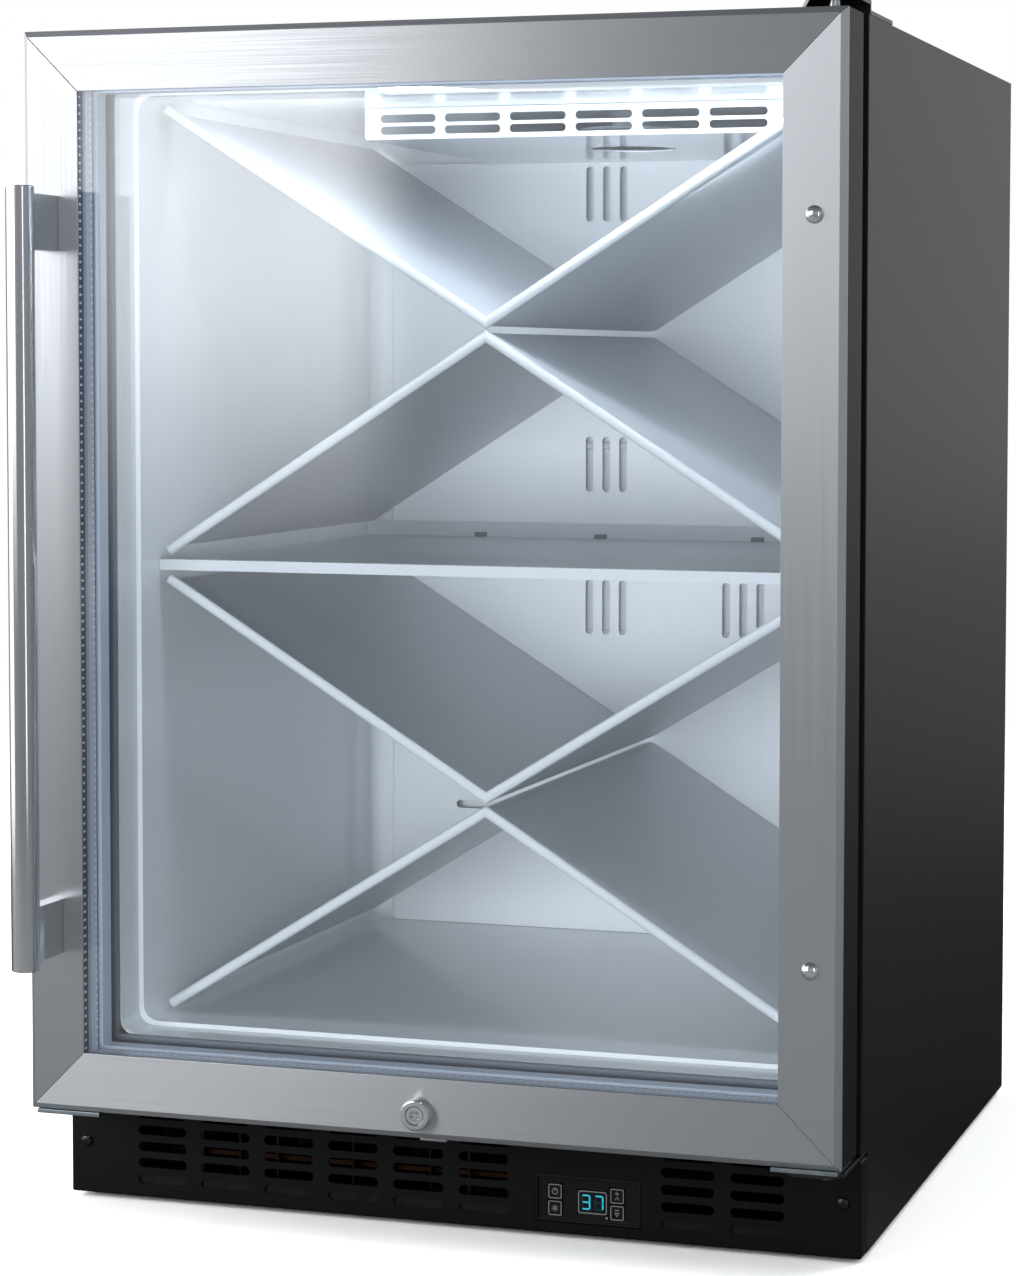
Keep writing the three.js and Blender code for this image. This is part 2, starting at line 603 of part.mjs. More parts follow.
function doorTrims() {
  const inner = TRIM_BEVEL - TRIM_SHEET * (2 - Math.SQRT2);
  const back = DOOR_FRONT + TRIM_RETURN;
  const shell = cut(
    bevelledBlock(0, TRIM_BEVEL, DOOR_FRONT),
    bevelledBlock(TRIM_SHEET, inner, DOOR_FRONT + TRIM_SHEET),
    box(-OPENING.half, OPENING.half, DOOR_FRONT - 5, back + 5, OPENING.low, OPENING.high),
    box(-HALF_WIDTH - 5, HALF_WIDTH + 5, back, back + 60, DOOR_BOTTOM - 5, DOOR_TOP + 5));
  const plugHoles = [PLUG.top, PLUG.bottom].map((z) => (
    rodY(PLUG.x, DOOR_FRONT - 5, DOOR_FRONT + 5, z, 3.3, 16)));
  const lockHole = rodY(LOCK.x, DOOR_FRONT - 5, DOOR_FRONT + 5, LOCK.z, 9.3, 28);
  const frame = cut(shell, lockHole, ...plugHoles);
  const seam = 0.2;
  const reach = 100;
  const far = HALF_WIDTH + 30;
  const near = HALF_WIDTH - reach;
  const low = DOOR_BOTTOM;
  const high = DOOR_TOP;
  const left = [
    [-far, low - 30 + seam], [-near, low + reach + seam],
    [-near, high - reach - seam], [-far, high + 30 - seam],
  ];
  const right = left.map(([x, z]) => [-x, z]).reverse();
  const bottom = [
    [-far, low - 30 - seam], [far, low - 30 - seam],
    [near, low + reach - seam], [-near, low + reach - seam],
  ];
  const top = bottom.map(([x, z]) => [x, high + low - z]).reverse();
  const member = (corners) => common(frame, alongY(outline(corners), DOOR_FRONT - 10, back + 10));
  return { left: member(left), right: member(right), bottom: member(bottom), top: member(top) };
}
const trims = doorTrims();
for (const [side, geometry] of Object.entries(trims)) {
  piece(door, `door_trim_${side}`, geometry, 'stainless');
}

const GLASS = { half: 264, low: OPENING.low - 8.5, high: OPENING.high + 8.5 };
const OUTER_GLASS_FRONT = DOOR_FRONT + TRIM_SHEET + GAP;
const INNER_GLASS_FRONT = -248;
const GLASS_THICKNESS = 4;
piece(door, 'outer_glass', box(-GLASS.half, GLASS.half,
  OUTER_GLASS_FRONT, OUTER_GLASS_FRONT + GLASS_THICKNESS, GLASS.low, GLASS.high), 'glass');
piece(door, 'inner_glass', box(-GLASS.half, GLASS.half,
  INNER_GLASS_FRONT, INNER_GLASS_FRONT + GLASS_THICKNESS, GLASS.low, GLASS.high), 'glass');
piece(door, 'glass_spacer', ring(
  { half: GLASS.half - 0.5, low: GLASS.low + 0.5, high: GLASS.high - 0.5 },
  { half: GLASS.half - 5.5, low: GLASS.low + 5.5, high: GLASS.high - 5.5 },
  OUTER_GLASS_FRONT + GLASS_THICKNESS + GAP, INNER_GLASS_FRONT - GAP), 'aluminium');

const CORE_FRONT = -271.7;
const DOOR_BACK = -228.7;
function doorCore() {
  const reveal = 0.2;
  const shoulder = DOOR_FRONT + TRIM_RETURN + GAP;
  const outer = { half: HALF_WIDTH - reveal, low: DOOR_BOTTOM + reveal, high: DOOR_TOP - reveal };
  const neck = TRIM_SHEET + 4.5;
  const opening = { half: GLASS.half + 0.6, low: GLASS.low - 0.6, high: GLASS.high + 0.6 };
  const rear = ring(outer, opening, shoulder, DOOR_BACK);
  const front = ring(
    { half: HALF_WIDTH - neck, low: DOOR_BOTTOM + neck, high: DOOR_TOP - neck },
    opening, CORE_FRONT, shoulder + 2);
  const frameSeat = box(-290.5, 290.5, -236, DOOR_BACK + 5, DOOR_BOTTOM + 8, DOOR_TOP - 8);
  const lockBore = rodY(LOCK.x, CORE_FRONT - 5, -230, LOCK.z, 9.3, 28);
  const camSpace = box(-13, 28, -247, -230, 60, 113);
  const lowPin = rodZ(HINGE.x, HINGE.y, 70, 100, HINGE.pin + GAP, 20);
  const highPin = rodZ(HINGE.x, HINGE.y, 830, 870, HINGE.pin + GAP, 20);
  return cut(join(rear, front), frameSeat, lockBore, camSpace, lowPin, highPin);
}
piece(door, 'door_core', doorCore(), 'black_plastic');

function doorInnerFrame() {
  const opening = { half: 257, low: GLASS.low + 7, high: GLASS.high - 7 };
  const plate = ring({ half: 290, low: DOOR_BOTTOM + 8.5, high: DOOR_TOP - 8.5 }, opening, -235.7, -229);
  const lip = ring({ half: GLASS.half, low: GLASS.low, high: GLASS.high }, opening,
    INNER_GLASS_FRONT + GLASS_THICKNESS + GAP, -234);
  return join(plate, lip);
}
piece(door, 'door_inner_frame', doorInnerFrame(), 'grey_plastic');

piece(door, 'door_gasket', ring(
  { half: 282, low: 98, high: 836 }, { half: 266, low: 114, high: 820 },
  DOOR_BACK, CABINET_FRONT - GAP), 'rubber');

function handleBar() {
  const chamfer = 1.2;
  const profile = [
    [0, HANDLE.bottom], [HANDLE.r - chamfer, HANDLE.bottom], [HANDLE.r, HANDLE.bottom + chamfer],
    [HANDLE.r, HANDLE.top - chamfer], [HANDLE.r - chamfer, HANDLE.top], [0, HANDLE.top],
  ];
  const bar = new THREE.LatheGeometry(profile.map(([r, z]) => new THREE.Vector2(r, z)), 32);
  return bar.rotateX(Math.PI / 2).translate(HANDLE.x, HANDLE.y, 0);
}
piece(door, 'handle_bar', handleBar(), 'polished');

function handleBracket(z) {
  const block = box(HANDLE.x - 6, HANDLE.x + 6, HANDLE.y, DOOR_FRONT - GAP, z - 19.5, z + 19.5);
  return cut(block, rodZ(HANDLE.x, HANDLE.y, 100, 800, HANDLE.r + GAP, 32));
}
piece(door, 'upper_handle_bracket', handleBracket(HANDLE.middle + HANDLE.spacing / 2), 'stainless');
piece(door, 'lower_handle_bracket', handleBracket(HANDLE.middle - HANDLE.spacing / 2), 'stainless');

// Domed plug that fills a handle screw hole on the hinge side.
function holePlug(z) {
  const dome = new THREE.LatheGeometry([
    [0, 0], [6, 0], [5.6, 1], [4.4, 2], [2.4, 2.7], [0, 3],
  ].map(([r, h]) => new THREE.Vector2(r, h)), 20);
  dome.rotateX(Math.PI).translate(PLUG.x, DOOR_FRONT - GAP, z);
  return join(dome, rodY(PLUG.x, DOOR_FRONT - 1, DOOR_FRONT + 4.5, z, 3, 14));
}
piece(door, 'upper_hole_plug', holePlug(PLUG.top), 'polished');
piece(door, 'lower_hole_plug', holePlug(PLUG.bottom), 'polished');

function lockBody() {
  const profile = [
    [6.6, -9], [9.6, -9], [11, -7.6], [11, -GAP], [9, -GAP], [9, 30], [6.6, 30], [6.6, -9],
  ];
  const shell = new THREE.LatheGeometry(profile.map(([r, y]) => new THREE.Vector2(r, y)), 28);
  return shell.translate(LOCK.x, DOOR_FRONT, LOCK.z);
}
piece(door, 'lock_body', lockBody(), 'polished');

// Turning cylinder with the cam on its inner end.
function lockCylinder() {
  const plug = rodY(LOCK.x, DOOR_FRONT - 8.4, -240, LOCK.z, 6.2, 24);
  const cam = box(LOCK.x - 6, LOCK.x + 23, -244, -241, LOCK.z - 5, LOCK.z + 5);
  const keyway = rodY(LOCK.x, DOOR_FRONT - 15, DOOR_FRONT - 2, LOCK.z, 3.8, 20);
  const post = rodY(LOCK.x, DOOR_FRONT - 7.6, DOOR_FRONT - 1, LOCK.z, 1.5, 12);
  return join(cut(join(plug, cam), keyway), post);
}
piece(door, 'lock_cylinder', lockCylinder(), 'polished');

// Zinc plates screwed under the door's bottom corners; the right one takes the hinge pin.
function cornerPlate(x0, x1) {
  const plate = box(x0, x1, -275, -232, DOOR_BOTTOM - 3.3, DOOR_BOTTOM - GAP);
  return cut(plate, rodZ(HINGE.x, HINGE.y, 60, 90, HINGE.pin + 0.6));
}
piece(door, 'left_corner_plate', cornerPlate(-294, -245), 'zinc');
piece(door, 'right_corner_plate', cornerPlate(250, 296), 'zinc');

const refrigerator = new THREE.Group();
refrigerator.add(cabinet, door);
export default refrigerator;
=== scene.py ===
import bpy
import bmesh
import json
import math
from mathutils import Matrix, Vector

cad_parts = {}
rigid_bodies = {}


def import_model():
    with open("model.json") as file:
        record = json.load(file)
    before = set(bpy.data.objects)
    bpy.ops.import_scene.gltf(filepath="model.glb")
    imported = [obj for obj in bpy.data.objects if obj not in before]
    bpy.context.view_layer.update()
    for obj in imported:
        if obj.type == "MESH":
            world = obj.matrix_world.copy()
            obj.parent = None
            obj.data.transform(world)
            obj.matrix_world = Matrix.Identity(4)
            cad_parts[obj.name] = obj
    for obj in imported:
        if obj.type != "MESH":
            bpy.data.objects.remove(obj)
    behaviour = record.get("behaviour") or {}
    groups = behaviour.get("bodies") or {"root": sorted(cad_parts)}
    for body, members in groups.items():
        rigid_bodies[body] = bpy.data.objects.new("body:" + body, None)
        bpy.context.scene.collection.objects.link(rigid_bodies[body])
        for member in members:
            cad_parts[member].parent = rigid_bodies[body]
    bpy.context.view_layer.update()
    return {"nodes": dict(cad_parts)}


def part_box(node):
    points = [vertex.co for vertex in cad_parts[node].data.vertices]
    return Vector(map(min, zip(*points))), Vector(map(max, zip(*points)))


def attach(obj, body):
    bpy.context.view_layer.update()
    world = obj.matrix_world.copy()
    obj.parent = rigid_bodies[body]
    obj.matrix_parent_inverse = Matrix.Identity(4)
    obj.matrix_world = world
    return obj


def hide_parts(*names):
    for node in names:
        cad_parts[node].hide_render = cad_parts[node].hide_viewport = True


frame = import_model()
MM = 0.001

# ------------------------------------------------------------------ camera and studio
# Long lens a little right of the door and just above its middle, so the right side shows.
# The studio is a pale floor that fades into white, a tall softbox at the front left, a dim
# room elsewhere, and a soft light behind on the right that skims the cabinet's side.

CAMERA_PLACE = Vector((0.760, -2.2855, 0.618))
camera_data = bpy.data.cameras.new("camera")
camera_data.lens = 88.5
camera_data.sensor_width = 36.0
camera_data.shift_x = -0.08
camera_data.shift_y = -0.08
camera = bpy.data.objects.new("camera", camera_data)
bpy.context.scene.collection.objects.link(camera)
camera.matrix_world = (
    Matrix.Translation(CAMERA_PLACE)
    @ Matrix.Rotation(math.radians(17.22), 4, "Z")
    @ Matrix.Rotation(math.radians(90 - 3.18), 4, "X")
    @ Matrix.Rotation(math.radians(0.13), 4, "Z")
)
bpy.context.scene.camera = camera
bpy.context.scene.view_settings.view_transform = "Standard"


def studio_world():
    world = bpy.data.worlds.new("studio")
    world.use_nodes = True
    nodes = world.node_tree.nodes
    links = world.node_tree.links
    nodes.clear()
    output = nodes.new("ShaderNodeOutputWorld")
    choose = nodes.new("ShaderNodeMixShader")
    seen = nodes.new("ShaderNodeBackground")
    seen.inputs["Color"].default_value = (1.0, 1.0, 1.0, 1.0)
    room = nodes.new("ShaderNodeBackground")
    path = nodes.new("ShaderNodeLightPath")
    place = nodes.new("ShaderNodeTexCoord")
    split = nodes.new("ShaderNodeSeparateXYZ")
    height = nodes.new("ShaderNodeMapRange")
    height.inputs["From Min"].default_value = -1.0
    shades = nodes.new("ShaderNodeValToRGB")
    ramp = shades.color_ramp
    ramp.elements[0].position = 0.0
    ramp.elements[0].color = (0.16, 0.17, 0.18, 1.0)
    ramp.elements[1].position = 1.0
    ramp.elements[1].color = (0.10, 0.11, 0.12, 1.0)
    for position, shade in ((0.42, 0.24), (0.52, 0.32), (0.62, 0.42), (0.80, 0.22)):
        stop = ramp.elements.new(position)
        stop.color = (shade * 0.97, shade, shade * 1.04, 1.0)
    links.new(place.outputs["Generated"], split.inputs["Vector"])
    links.new(split.outputs["Z"], height.inputs["Value"])
    links.new(height.outputs["Result"], shades.inputs["Fac"])
    links.new(shades.outputs["Color"], room.inputs["Color"])
    links.new(path.outputs["Is Camera Ray"], choose.inputs["Fac"])
    links.new(room.outputs["Background"], choose.inputs[1])
    links.new(seen.outputs["Background"], choose.inputs[2])
    links.new(choose.outputs["Shader"], output.inputs["Surface"])
    return world


bpy.context.scene.world = studio_world()


def softbox(name, place, target, width, height, power, colour=(1.0, 1.0, 1.0), fade=None, mirrored=True):
    light = bpy.data.lights.new(name, "AREA")
    light.shape = "RECTANGLE"
    light.size = width
    light.size_y = height
    light.energy = power
    light.color = colour
    if fade:
        light.use_nodes = True
        nodes = light.node_tree.nodes
        links = light.node_tree.links
        emission = nodes["Emission"]
        across = nodes.new("ShaderNodeNewGeometry")
        split = nodes.new("ShaderNodeSeparateXYZ")
        product = nodes.new("ShaderNodeMath")
        product.operation = "MULTIPLY"
        for index, axis in enumerate("XY"):
            middle = nodes.new("ShaderNodeMath")
            middle.operation = "SUBTRACT"
            middle.inputs[1].default_value = 0.5
            far = nodes.new("ShaderNodeMath")
            far.operation = "ABSOLUTE"
            ramp = nodes.new("ShaderNodeMapRange")
            ramp.interpolation_type = "SMOOTHSTEP"
            ramp.inputs["From Min"].default_value = 0.5
            ramp.inputs["From Max"].default_value = 0.5 - fade[index]
            links.new(split.outputs[axis], middle.inputs[0])
            links.new(middle.outputs["Value"], far.inputs[0])
            links.new(far.outputs["Value"], ramp.inputs["Value"])
            links.new(ramp.outputs["Result"], product.inputs[index])
        links.new(across.outputs["Parametric"], split.inputs["Vector"])
        links.new(product.outputs["Value"], emission.inputs["Strength"])
    lamp = bpy.data.objects.new(name, light)
    lamp.location = Vector(place)
    aim = Vector(target) - Vector(place)
    lamp.rotation_euler = aim.to_track_quat("-Z", "Y").to_euler()
    lamp.visible_camera = False
    lamp.visible_glossy = mirrored
    bpy.context.scene.collection.objects.link(lamp)
    return lamp


COOL_WHITE = (0.95, 0.975, 1.0)
lit_inside = bpy.data.collections.new("lit_inside")
key_softbox = softbox("key_softbox", (-2.57, -3.0, 1.75), (-2.57, 0.0, 1.75), 3.1, 3.2, 100,
                      fade=(0.06, 0.26))
front_fill = softbox("front_fill", (0.0, -2.6, 0.35), (0.0, 0.0, 0.60), 1.6, 0.6, 86, COOL_WHITE,
                     mirrored=False)
front_fill.light_linking.receiver_collection = lit_inside
inner_glow = softbox("inner_glow", (0.0, -0.12, 0.79), (0.0, 0.28, 0.70), 0.44, 0.12, 0.62, COOL_WHITE,
                     mirrored=False)
inner_glow.data.use_shadow = False
softbox("left_softbox", (-3.0, -1.0, 1.0), (0.0, -0.6, 0.6), 2.6, 2.4, 32)
softbox("strip_light", (2.3, -2.6, 0.9), (0.0, -0.3, 0.6), 0.32, 2.2, 6)
softbox("side_softbox", (2.6, 2.4, 2.6), (0.3, 0.1, 0.6), 1.6, 1.2, 26)
softbox("backdrop_glow", (1.6, 3.8, 1.1), (0.6, 0.0, 0.7), 3.0, 1.6, 6)
softbox("back_softbox", (-2.6, 2.6, 1.8), (0.0, 0.2, 0.5), 1.8, 1.8, 30)
softbox("top_softbox", (0.4, -0.6, 3.2), (0.0, 0.0, 0.4), 2.4, 2.4, 20, mirrored=False)


def pale_floor():
    finish = bpy.data.materials.new("pale_floor")
    finish.use_nodes = True
    nodes = finish.node_tree.nodes
    links = finish.node_tree.links
    nodes.clear()
    output = nodes.new("ShaderNodeOutputMaterial")
    fade = nodes.new("ShaderNodeMixShader")
    matte = nodes.new("ShaderNodeBsdfDiffuse")
    clear = nodes.new("ShaderNodeBsdfTransparent")
    path = nodes.new("ShaderNodeLightPath")
    tone = nodes.new("ShaderNodeMix")
    tone.data_type = "RGBA"
    reach = nodes.new("ShaderNodeSeparateXYZ")
    ahead = nodes.new("ShaderNodeMapRange")
    ahead.inputs["From Min"].default_value = 0.1
    ahead.inputs["From Max"].default_value = -0.5
    ahead.inputs["To Min"].default_value = 0.08
    ahead.inputs["To Max"].default_value = 0.50
    tone.inputs["B"].default_value = (2.9, 2.9, 2.9, 1.0)
    place = nodes.new("ShaderNodeTexCoord")
    length = nodes.new("ShaderNodeVectorMath")
    length.operation = "LENGTH"
    edge = nodes.new("ShaderNodeMapRange")
    edge.interpolation_type = "SMOOTHSTEP"
    edge.inputs["From Min"].default_value = 1.2
    edge.inputs["From Max"].default_value = 3.2
    links.new(place.outputs["Object"], reach.inputs["Vector"])
    links.new(reach.outputs["Y"], ahead.inputs["Value"])
    links.new(ahead.outputs["Result"], tone.inputs["A"])
    links.new(path.outputs["Is Camera Ray"], tone.inputs["Factor"])
    links.new(tone.outputs["Result"], matte.inputs["Color"])
    links.new(place.outputs["Object"], length.inputs[0])
    links.new(length.outputs["Value"], edge.inputs["Value"])
    links.new(edge.outputs["Result"], fade.inputs["Fac"])
    links.new(matte.outputs["BSDF"], fade.inputs[1])
    links.new(clear.outputs["BSDF"], fade.inputs[2])
    links.new(fade.outputs["Shader"], output.inputs["Surface"])
    return finish


floor_bm = bmesh.new()
bmesh.ops.create_grid(floor_bm, x_segments=1, y_segments=1, size=6.0)
floor_mesh = bpy.data.meshes.new("floor")
floor_bm.to_mesh(floor_mesh)
floor_bm.free()
floor_mesh.materials.append(pale_floor())
floor = bpy.data.objects.new("floor", floor_mesh)
bpy.context.scene.collection.objects.link(floor)

# ------------------------------------------------------------------ cabinet wrapper
# Outer skin of the cabinet: one sheet of 1 mm steel folded over the top and down both sides,
# with a flange turned in round the front. Black powder coat with a fine orange peel.


def powder_coat(name, colour, roughness, grain=900.0, depth=0.02, spread=0.08, drift=0.12, **sockets):
    """A coated or moulded surface: fine grain in the relief and the gloss, slow drift in the shade."""
    finish = bpy.data.materials.new(name)
    finish.use_nodes = True
    nodes = finish.node_tree.nodes
    links = finish.node_tree.links
    shader = nodes["Principled BSDF"]
    place = nodes.new("ShaderNodeTexCoord")
    peel = nodes.new("ShaderNodeTexNoise")
    peel.inputs["Scale"].default_value = grain
    peel.inputs["Detail"].default_value = 3.0
    gloss = nodes.new("ShaderNodeMapRange")
    gloss.inputs["From Min"].default_value = 0.3
    gloss.inputs["From Max"].default_value = 0.7
    gloss.inputs["To Min"].default_value = roughness - spread / 2
    gloss.inputs["To Max"].default_value = roughness + spread / 2
    relief = nodes.new("ShaderNodeBump")
    relief.inputs["Distance"].default_value = depth * MM
    relief.inputs["Strength"].default_value = 0.6
    cloud = nodes.new("ShaderNodeTexNoise")
    cloud.inputs["Scale"].default_value = 7.0
    cloud.inputs["Detail"].default_value = 2.0
    tone = nodes.new("ShaderNodeMix")
    tone.data_type = "RGBA"
    tone.inputs["A"].default_value = tuple(c * (1 - drift / 2) for c in colour) + (1.0,)
    tone.inputs["B"].default_value = tuple(min(1.0, c * (1 + drift / 2)) for c in colour) + (1.0,)
    links.new(place.outputs["Object"], peel.inputs["Vector"])
    links.new(place.outputs["Object"], cloud.inputs["Vector"])
    links.new(peel.outputs["Fac"], gloss.inputs["Value"])
    links.new(gloss.outputs["Result"], shader.inputs["Roughness"])
    links.new(peel.outputs["Fac"], relief.inputs["Height"])
    links.new(relief.outputs["Normal"], shader.inputs["Normal"])
    links.new(cloud.outputs["Fac"], tone.inputs["Factor"])
    links.new(tone.outputs["Result"], shader.inputs["Base Color"])
    for socket, value in sockets.items():
        shader.inputs[socket.replace("_", " ")].default_value = value
    return finish


def worked_copy(node, width, segments=2, angle=25.0):
    """A node's shape with its sharp edges rounded off by a width in mm."""
    bm = bmesh.new()
    bm.from_mesh(frame["nodes"][node].data)
    bmesh.ops.remove_doubles(bm, verts=bm.verts, dist=0.01 * MM)
    sharp = [
        edge for edge in bm.edges
        if edge.is_manifold
        and edge.calc_face_angle(0.0) > math.radians(angle)
    ]
    if sharp and width > 0:
        bmesh.ops.bevel(
            bm, geom=sharp, offset=width * MM, offset_type="OFFSET", segments=segments,
            profile=0.5, affect="EDGES", material=-1, clamp_overlap=True,
        )
    return bm


def put(name, bm, finish, body, slot, *nodes, smooth=28.0):
    """Turns a finished shape into a piece that rides on a body and stands for the named nodes."""
    mesh = bpy.data.meshes.new(name)
    bm.to_mesh(mesh)
    bm.free()
    mesh.materials.append(finish)
    mesh.polygons.foreach_set("use_smooth", [True] * len(mesh.polygons))
    mesh.set_sharp_from_angle(angle=math.radians(smooth))
    piece = bpy.data.objects.new(name, mesh)
    bpy.context.scene.collection.objects.link(piece)
    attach(piece, body)
    if nodes:
        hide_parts(*nodes)
    flat = piece.modifiers.new("flat_faces", "WEIGHTED_NORMAL")
    flat.keep_sharp = True
    return piece


cabinet_black = powder_coat("cabinet_black_coat", (0.009, 0.0095, 0.010), 0.42, grain=1100.0,
                             Specular_IOR_Level=0.36)
put("cabinet_skin", worked_copy("cabinet_wrapper", 1.2), cabinet_black,
    "cabinet", "black_coated_steel", "cabinet_wrapper")

# ------------------------------------------------------------------ rear panel
# Galvanised sheet across the back, with rows of round-ended vents cut low down for the
# machine compartment, a hole for the mains inlet, and sheet-metal screws round its edge.


def galvanised_finish(name, colour, roughness):
    """Zinc-coated sheet: angular crystal patches that differ a little in shade and gloss."""
    finish = bpy.data.materials.new(name)
    finish.use_nodes = True
    nodes = finish.node_tree.nodes
    links = finish.node_tree.links
    shader = nodes["Principled BSDF"]
    shader.inputs["Metallic"].default_value = 1.0
    place = nodes.new("ShaderNodeTexCoord")
    spangle = nodes.new("ShaderNodeTexVoronoi")
    spangle.inputs["Scale"].default_value = 130.0
    split = nodes.new("ShaderNodeSeparateColor")
    tone = nodes.new("ShaderNodeMix")
    tone.data_type = "RGBA"
    tone.inputs["A"].default_value = tuple(c * 0.82 for c in colour) + (1.0,)
    tone.inputs["B"].default_value = tuple(min(1.0, c * 1.12) for c in colour) + (1.0,)
    gloss = nodes.new("ShaderNodeMapRange")
    gloss.inputs["To Min"].default_value = roughness - 0.07
    gloss.inputs["To Max"].default_value = roughness + 0.09
    dust = nodes.new("ShaderNodeTexNoise")
    dust.inputs["Scale"].default_value = 700.0
    relief = nodes.new("ShaderNodeBump")
    relief.inputs["Distance"].default_value = 0.015 * MM
    relief.inputs["Strength"].default_value = 0.5
    links.new(place.outputs["Object"], spangle.inputs["Vector"])
    links.new(place.outputs["Object"], dust.inputs["Vector"])
    links.new(spangle.outputs["Color"], split.inputs["Color"])
    links.new(split.outputs["Red"], tone.inputs["Factor"])
    links.new(split.outputs["Green"], gloss.inputs["Value"])
    links.new(tone.outputs["Result"], shader.inputs["Base Color"])
    links.new(gloss.outputs["Result"], shader.inputs["Roughness"])
    links.new(dust.outputs["Fac"], relief.inputs["Height"])
    links.new(relief.outputs["Normal"], shader.inputs["Normal"])
    return finish


def outline_loop(bm, x, z, width, height, radius, y, steps=16):
    """Edges of a rounded rectangle in an upright plane: a circle pulled apart at its quarters."""
    loop = bmesh.ops.create_circle(bm, segments=steps, radius=radius * MM)["verts"]
    bmesh.ops.rotate(bm, verts=loop, matrix=Matrix.Rotation(math.pi / steps, 3, "Z"))
    for vert in loop:
        across = vert.co.x + math.copysign((width / 2 - radius) * MM, vert.co.x)
        up = vert.co.y + math.copysign((height / 2 - radius) * MM, vert.co.y)
        vert.co = Vector((x * MM + across, y * MM, z * MM + up))
    return list({edge for vert in loop for edge in vert.link_edges})


def corner_loop(bm, x0, x1, z0, z1, y):
    """Edges of a plain rectangle in an upright plane."""
    corners = [bm.verts.new((x * MM, y * MM, z * MM)) for x, z in ((x0, z0), (x1, z0), (x1, z1), (x0, z1))]
    return [bm.edges.new((corners[i], corners[(i + 1) % 4])) for i in range(4)]


def filled(bm, edges):
    """Fills an outline, leaving the smaller loops inside it open."""
    made = bmesh.ops.triangle_fill(bm, use_beauty=True, use_dissolve=False, edges=edges)
    return [item for item in made["geom"] if isinstance(item, bmesh.types.BMFace)]


def thickened(bm, offset):
    """Gives a flat sheet its thickness: offset is in mm, and the result is closed."""
    grown = bmesh.ops.extrude_face_region(bm, geom=list(bm.faces))["geom"]
    moved = [item for item in grown if isinstance(item, bmesh.types.BMVert)]
    bmesh.ops.translate(bm, verts=moved, vec=Vector(offset) * MM)
    bmesh.ops.recalc_face_normals(bm, faces=bm.faces)
    return bm


galvanised = galvanised_finish("galvanised_sheet", (0.42, 0.44, 0.45), 0.42)
VENT_COLUMNS = [column * 66 for column in range(-3, 4)]
VENT_ROWS = [30, 50, 70]
rear_low, rear_high = (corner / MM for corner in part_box("rear_panel"))
inlet_low, inlet_high = (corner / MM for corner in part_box("power_inlet"))
INLET = (inlet_low + inlet_high) / 2

rear = bmesh.new()
rear_edges = corner_loop(rear, rear_low.x, rear_high.x, rear_low.z, rear_high.z, rear_high.y)
rear_edges += outline_loop(rear, INLET.x, INLET.z, 22.6, 22.6, 11.29, rear_high.y, 32)
for x in VENT_COLUMNS:
    for z in VENT_ROWS:
        rear_edges += outline_loop(rear, x, z, 48, 8, 3.99, rear_high.y)
filled(rear, rear_edges)
put("rear_sheet", thickened(rear, (0, -1, 0)), galvanised, "cabinet", "galvanised_steel", "rear_panel")


def turned(profile, steps, axis="Z", closed=False):
    """A round shape spun from (radius, height) points in mm, upright or front to back."""
    bm = bmesh.new()
    verts = [bm.verts.new((r * MM, 0, h * MM) if axis == "Z" else (r * MM, h * MM, 0)) for r, h in profile]
    ends = verts[1:] + verts[:1] if closed else verts[1:]
    edges = [bm.edges.new(pair) for pair in zip(verts, ends)]
    bmesh.ops.spin(bm, geom=verts + edges, cent=(0, 0, 0), axis=(0, 0, 1) if axis == "Z" else (0, 1, 0),
                   angle=math.tau, steps=steps, use_merge=True)
    bmesh.ops.remove_doubles(bm, verts=bm.verts, dist=0.001 * MM)
    bmesh.ops.recalc_face_normals(bm, faces=bm.faces)
    return bm


def cross_screw(bm, place, radius, height, turn=Matrix.Identity(3), recess=0.55):
    """A pan-head screw with a cross cut into its crown; its axis is +Z before it is turned."""
    profile = [(0, height), (radius * 0.55, height * 0.97), (radius * 0.86, height * 0.72),
               (radius, height * 0.3), (radius, 0), (0, 0)]
    dome = turned(profile, 24)
    bmesh.ops.transform(dome, matrix=turn.to_4x4(), verts=dome.verts)
    bmesh.ops.translate(dome, verts=dome.verts, vec=Vector(place) * MM)
    if recess:
        for quarter in (0, math.pi / 2):
            bar = bmesh.ops.create_cube(dome, size=1.0)["verts"]
            bmesh.ops.scale(dome, verts=bar, vec=(radius * 1.1 * MM, radius * 0.22 * MM, 0.1 * MM))
            bmesh.ops.translate(dome, verts=bar, vec=(0, 0, (height + 0.02) * MM))
            bmesh.ops.rotate(dome, verts=bar, matrix=Matrix.Rotation(quarter, 3, "Z"))
            bmesh.ops.transform(dome, matrix=turn.to_4x4(), verts=bar)
            bmesh.ops.translate(dome, verts=bar, vec=Vector(place) * MM)
    spare = bpy.data.meshes.new("spare")
    dome.to_mesh(spare)
    dome.free()
    bm.from_mesh(spare)
    bpy.data.meshes.remove(spare)


FACING_BACK = Matrix.Rotation(-math.pi / 2, 3, "X")
FACING_FRONT = Matrix.Rotation(math.pi / 2, 3, "X")
UPSIDE_DOWN = Matrix.Rotation(math.pi, 3, "X")
screw_steel = galvanised_finish("screw_zinc", (0.55, 0.56, 0.57), 0.3)
rear_screws = bmesh.new()
for x in (-288, -96, 96, 288):
    cross_screw(rear_screws, (x, rear_high.y, 842), 4, 2, FACING_BACK)
for x in (-288, 288):
    for z in (110, 355, 600):
        cross_screw(rear_screws, (x, rear_high.y, z), 4, 2, FACING_BACK)
put("rear_panel_screws", rear_screws, screw_steel, "cabinet", "zinc_plate")

# ------------------------------------------------------------------ liner and insulation
# Vacuum-formed tub of glossy pale ABS with rounded corners and a small step inside its mouth,
# foamed into the cabinet. The foam can't be seen; it keeps its own shape.

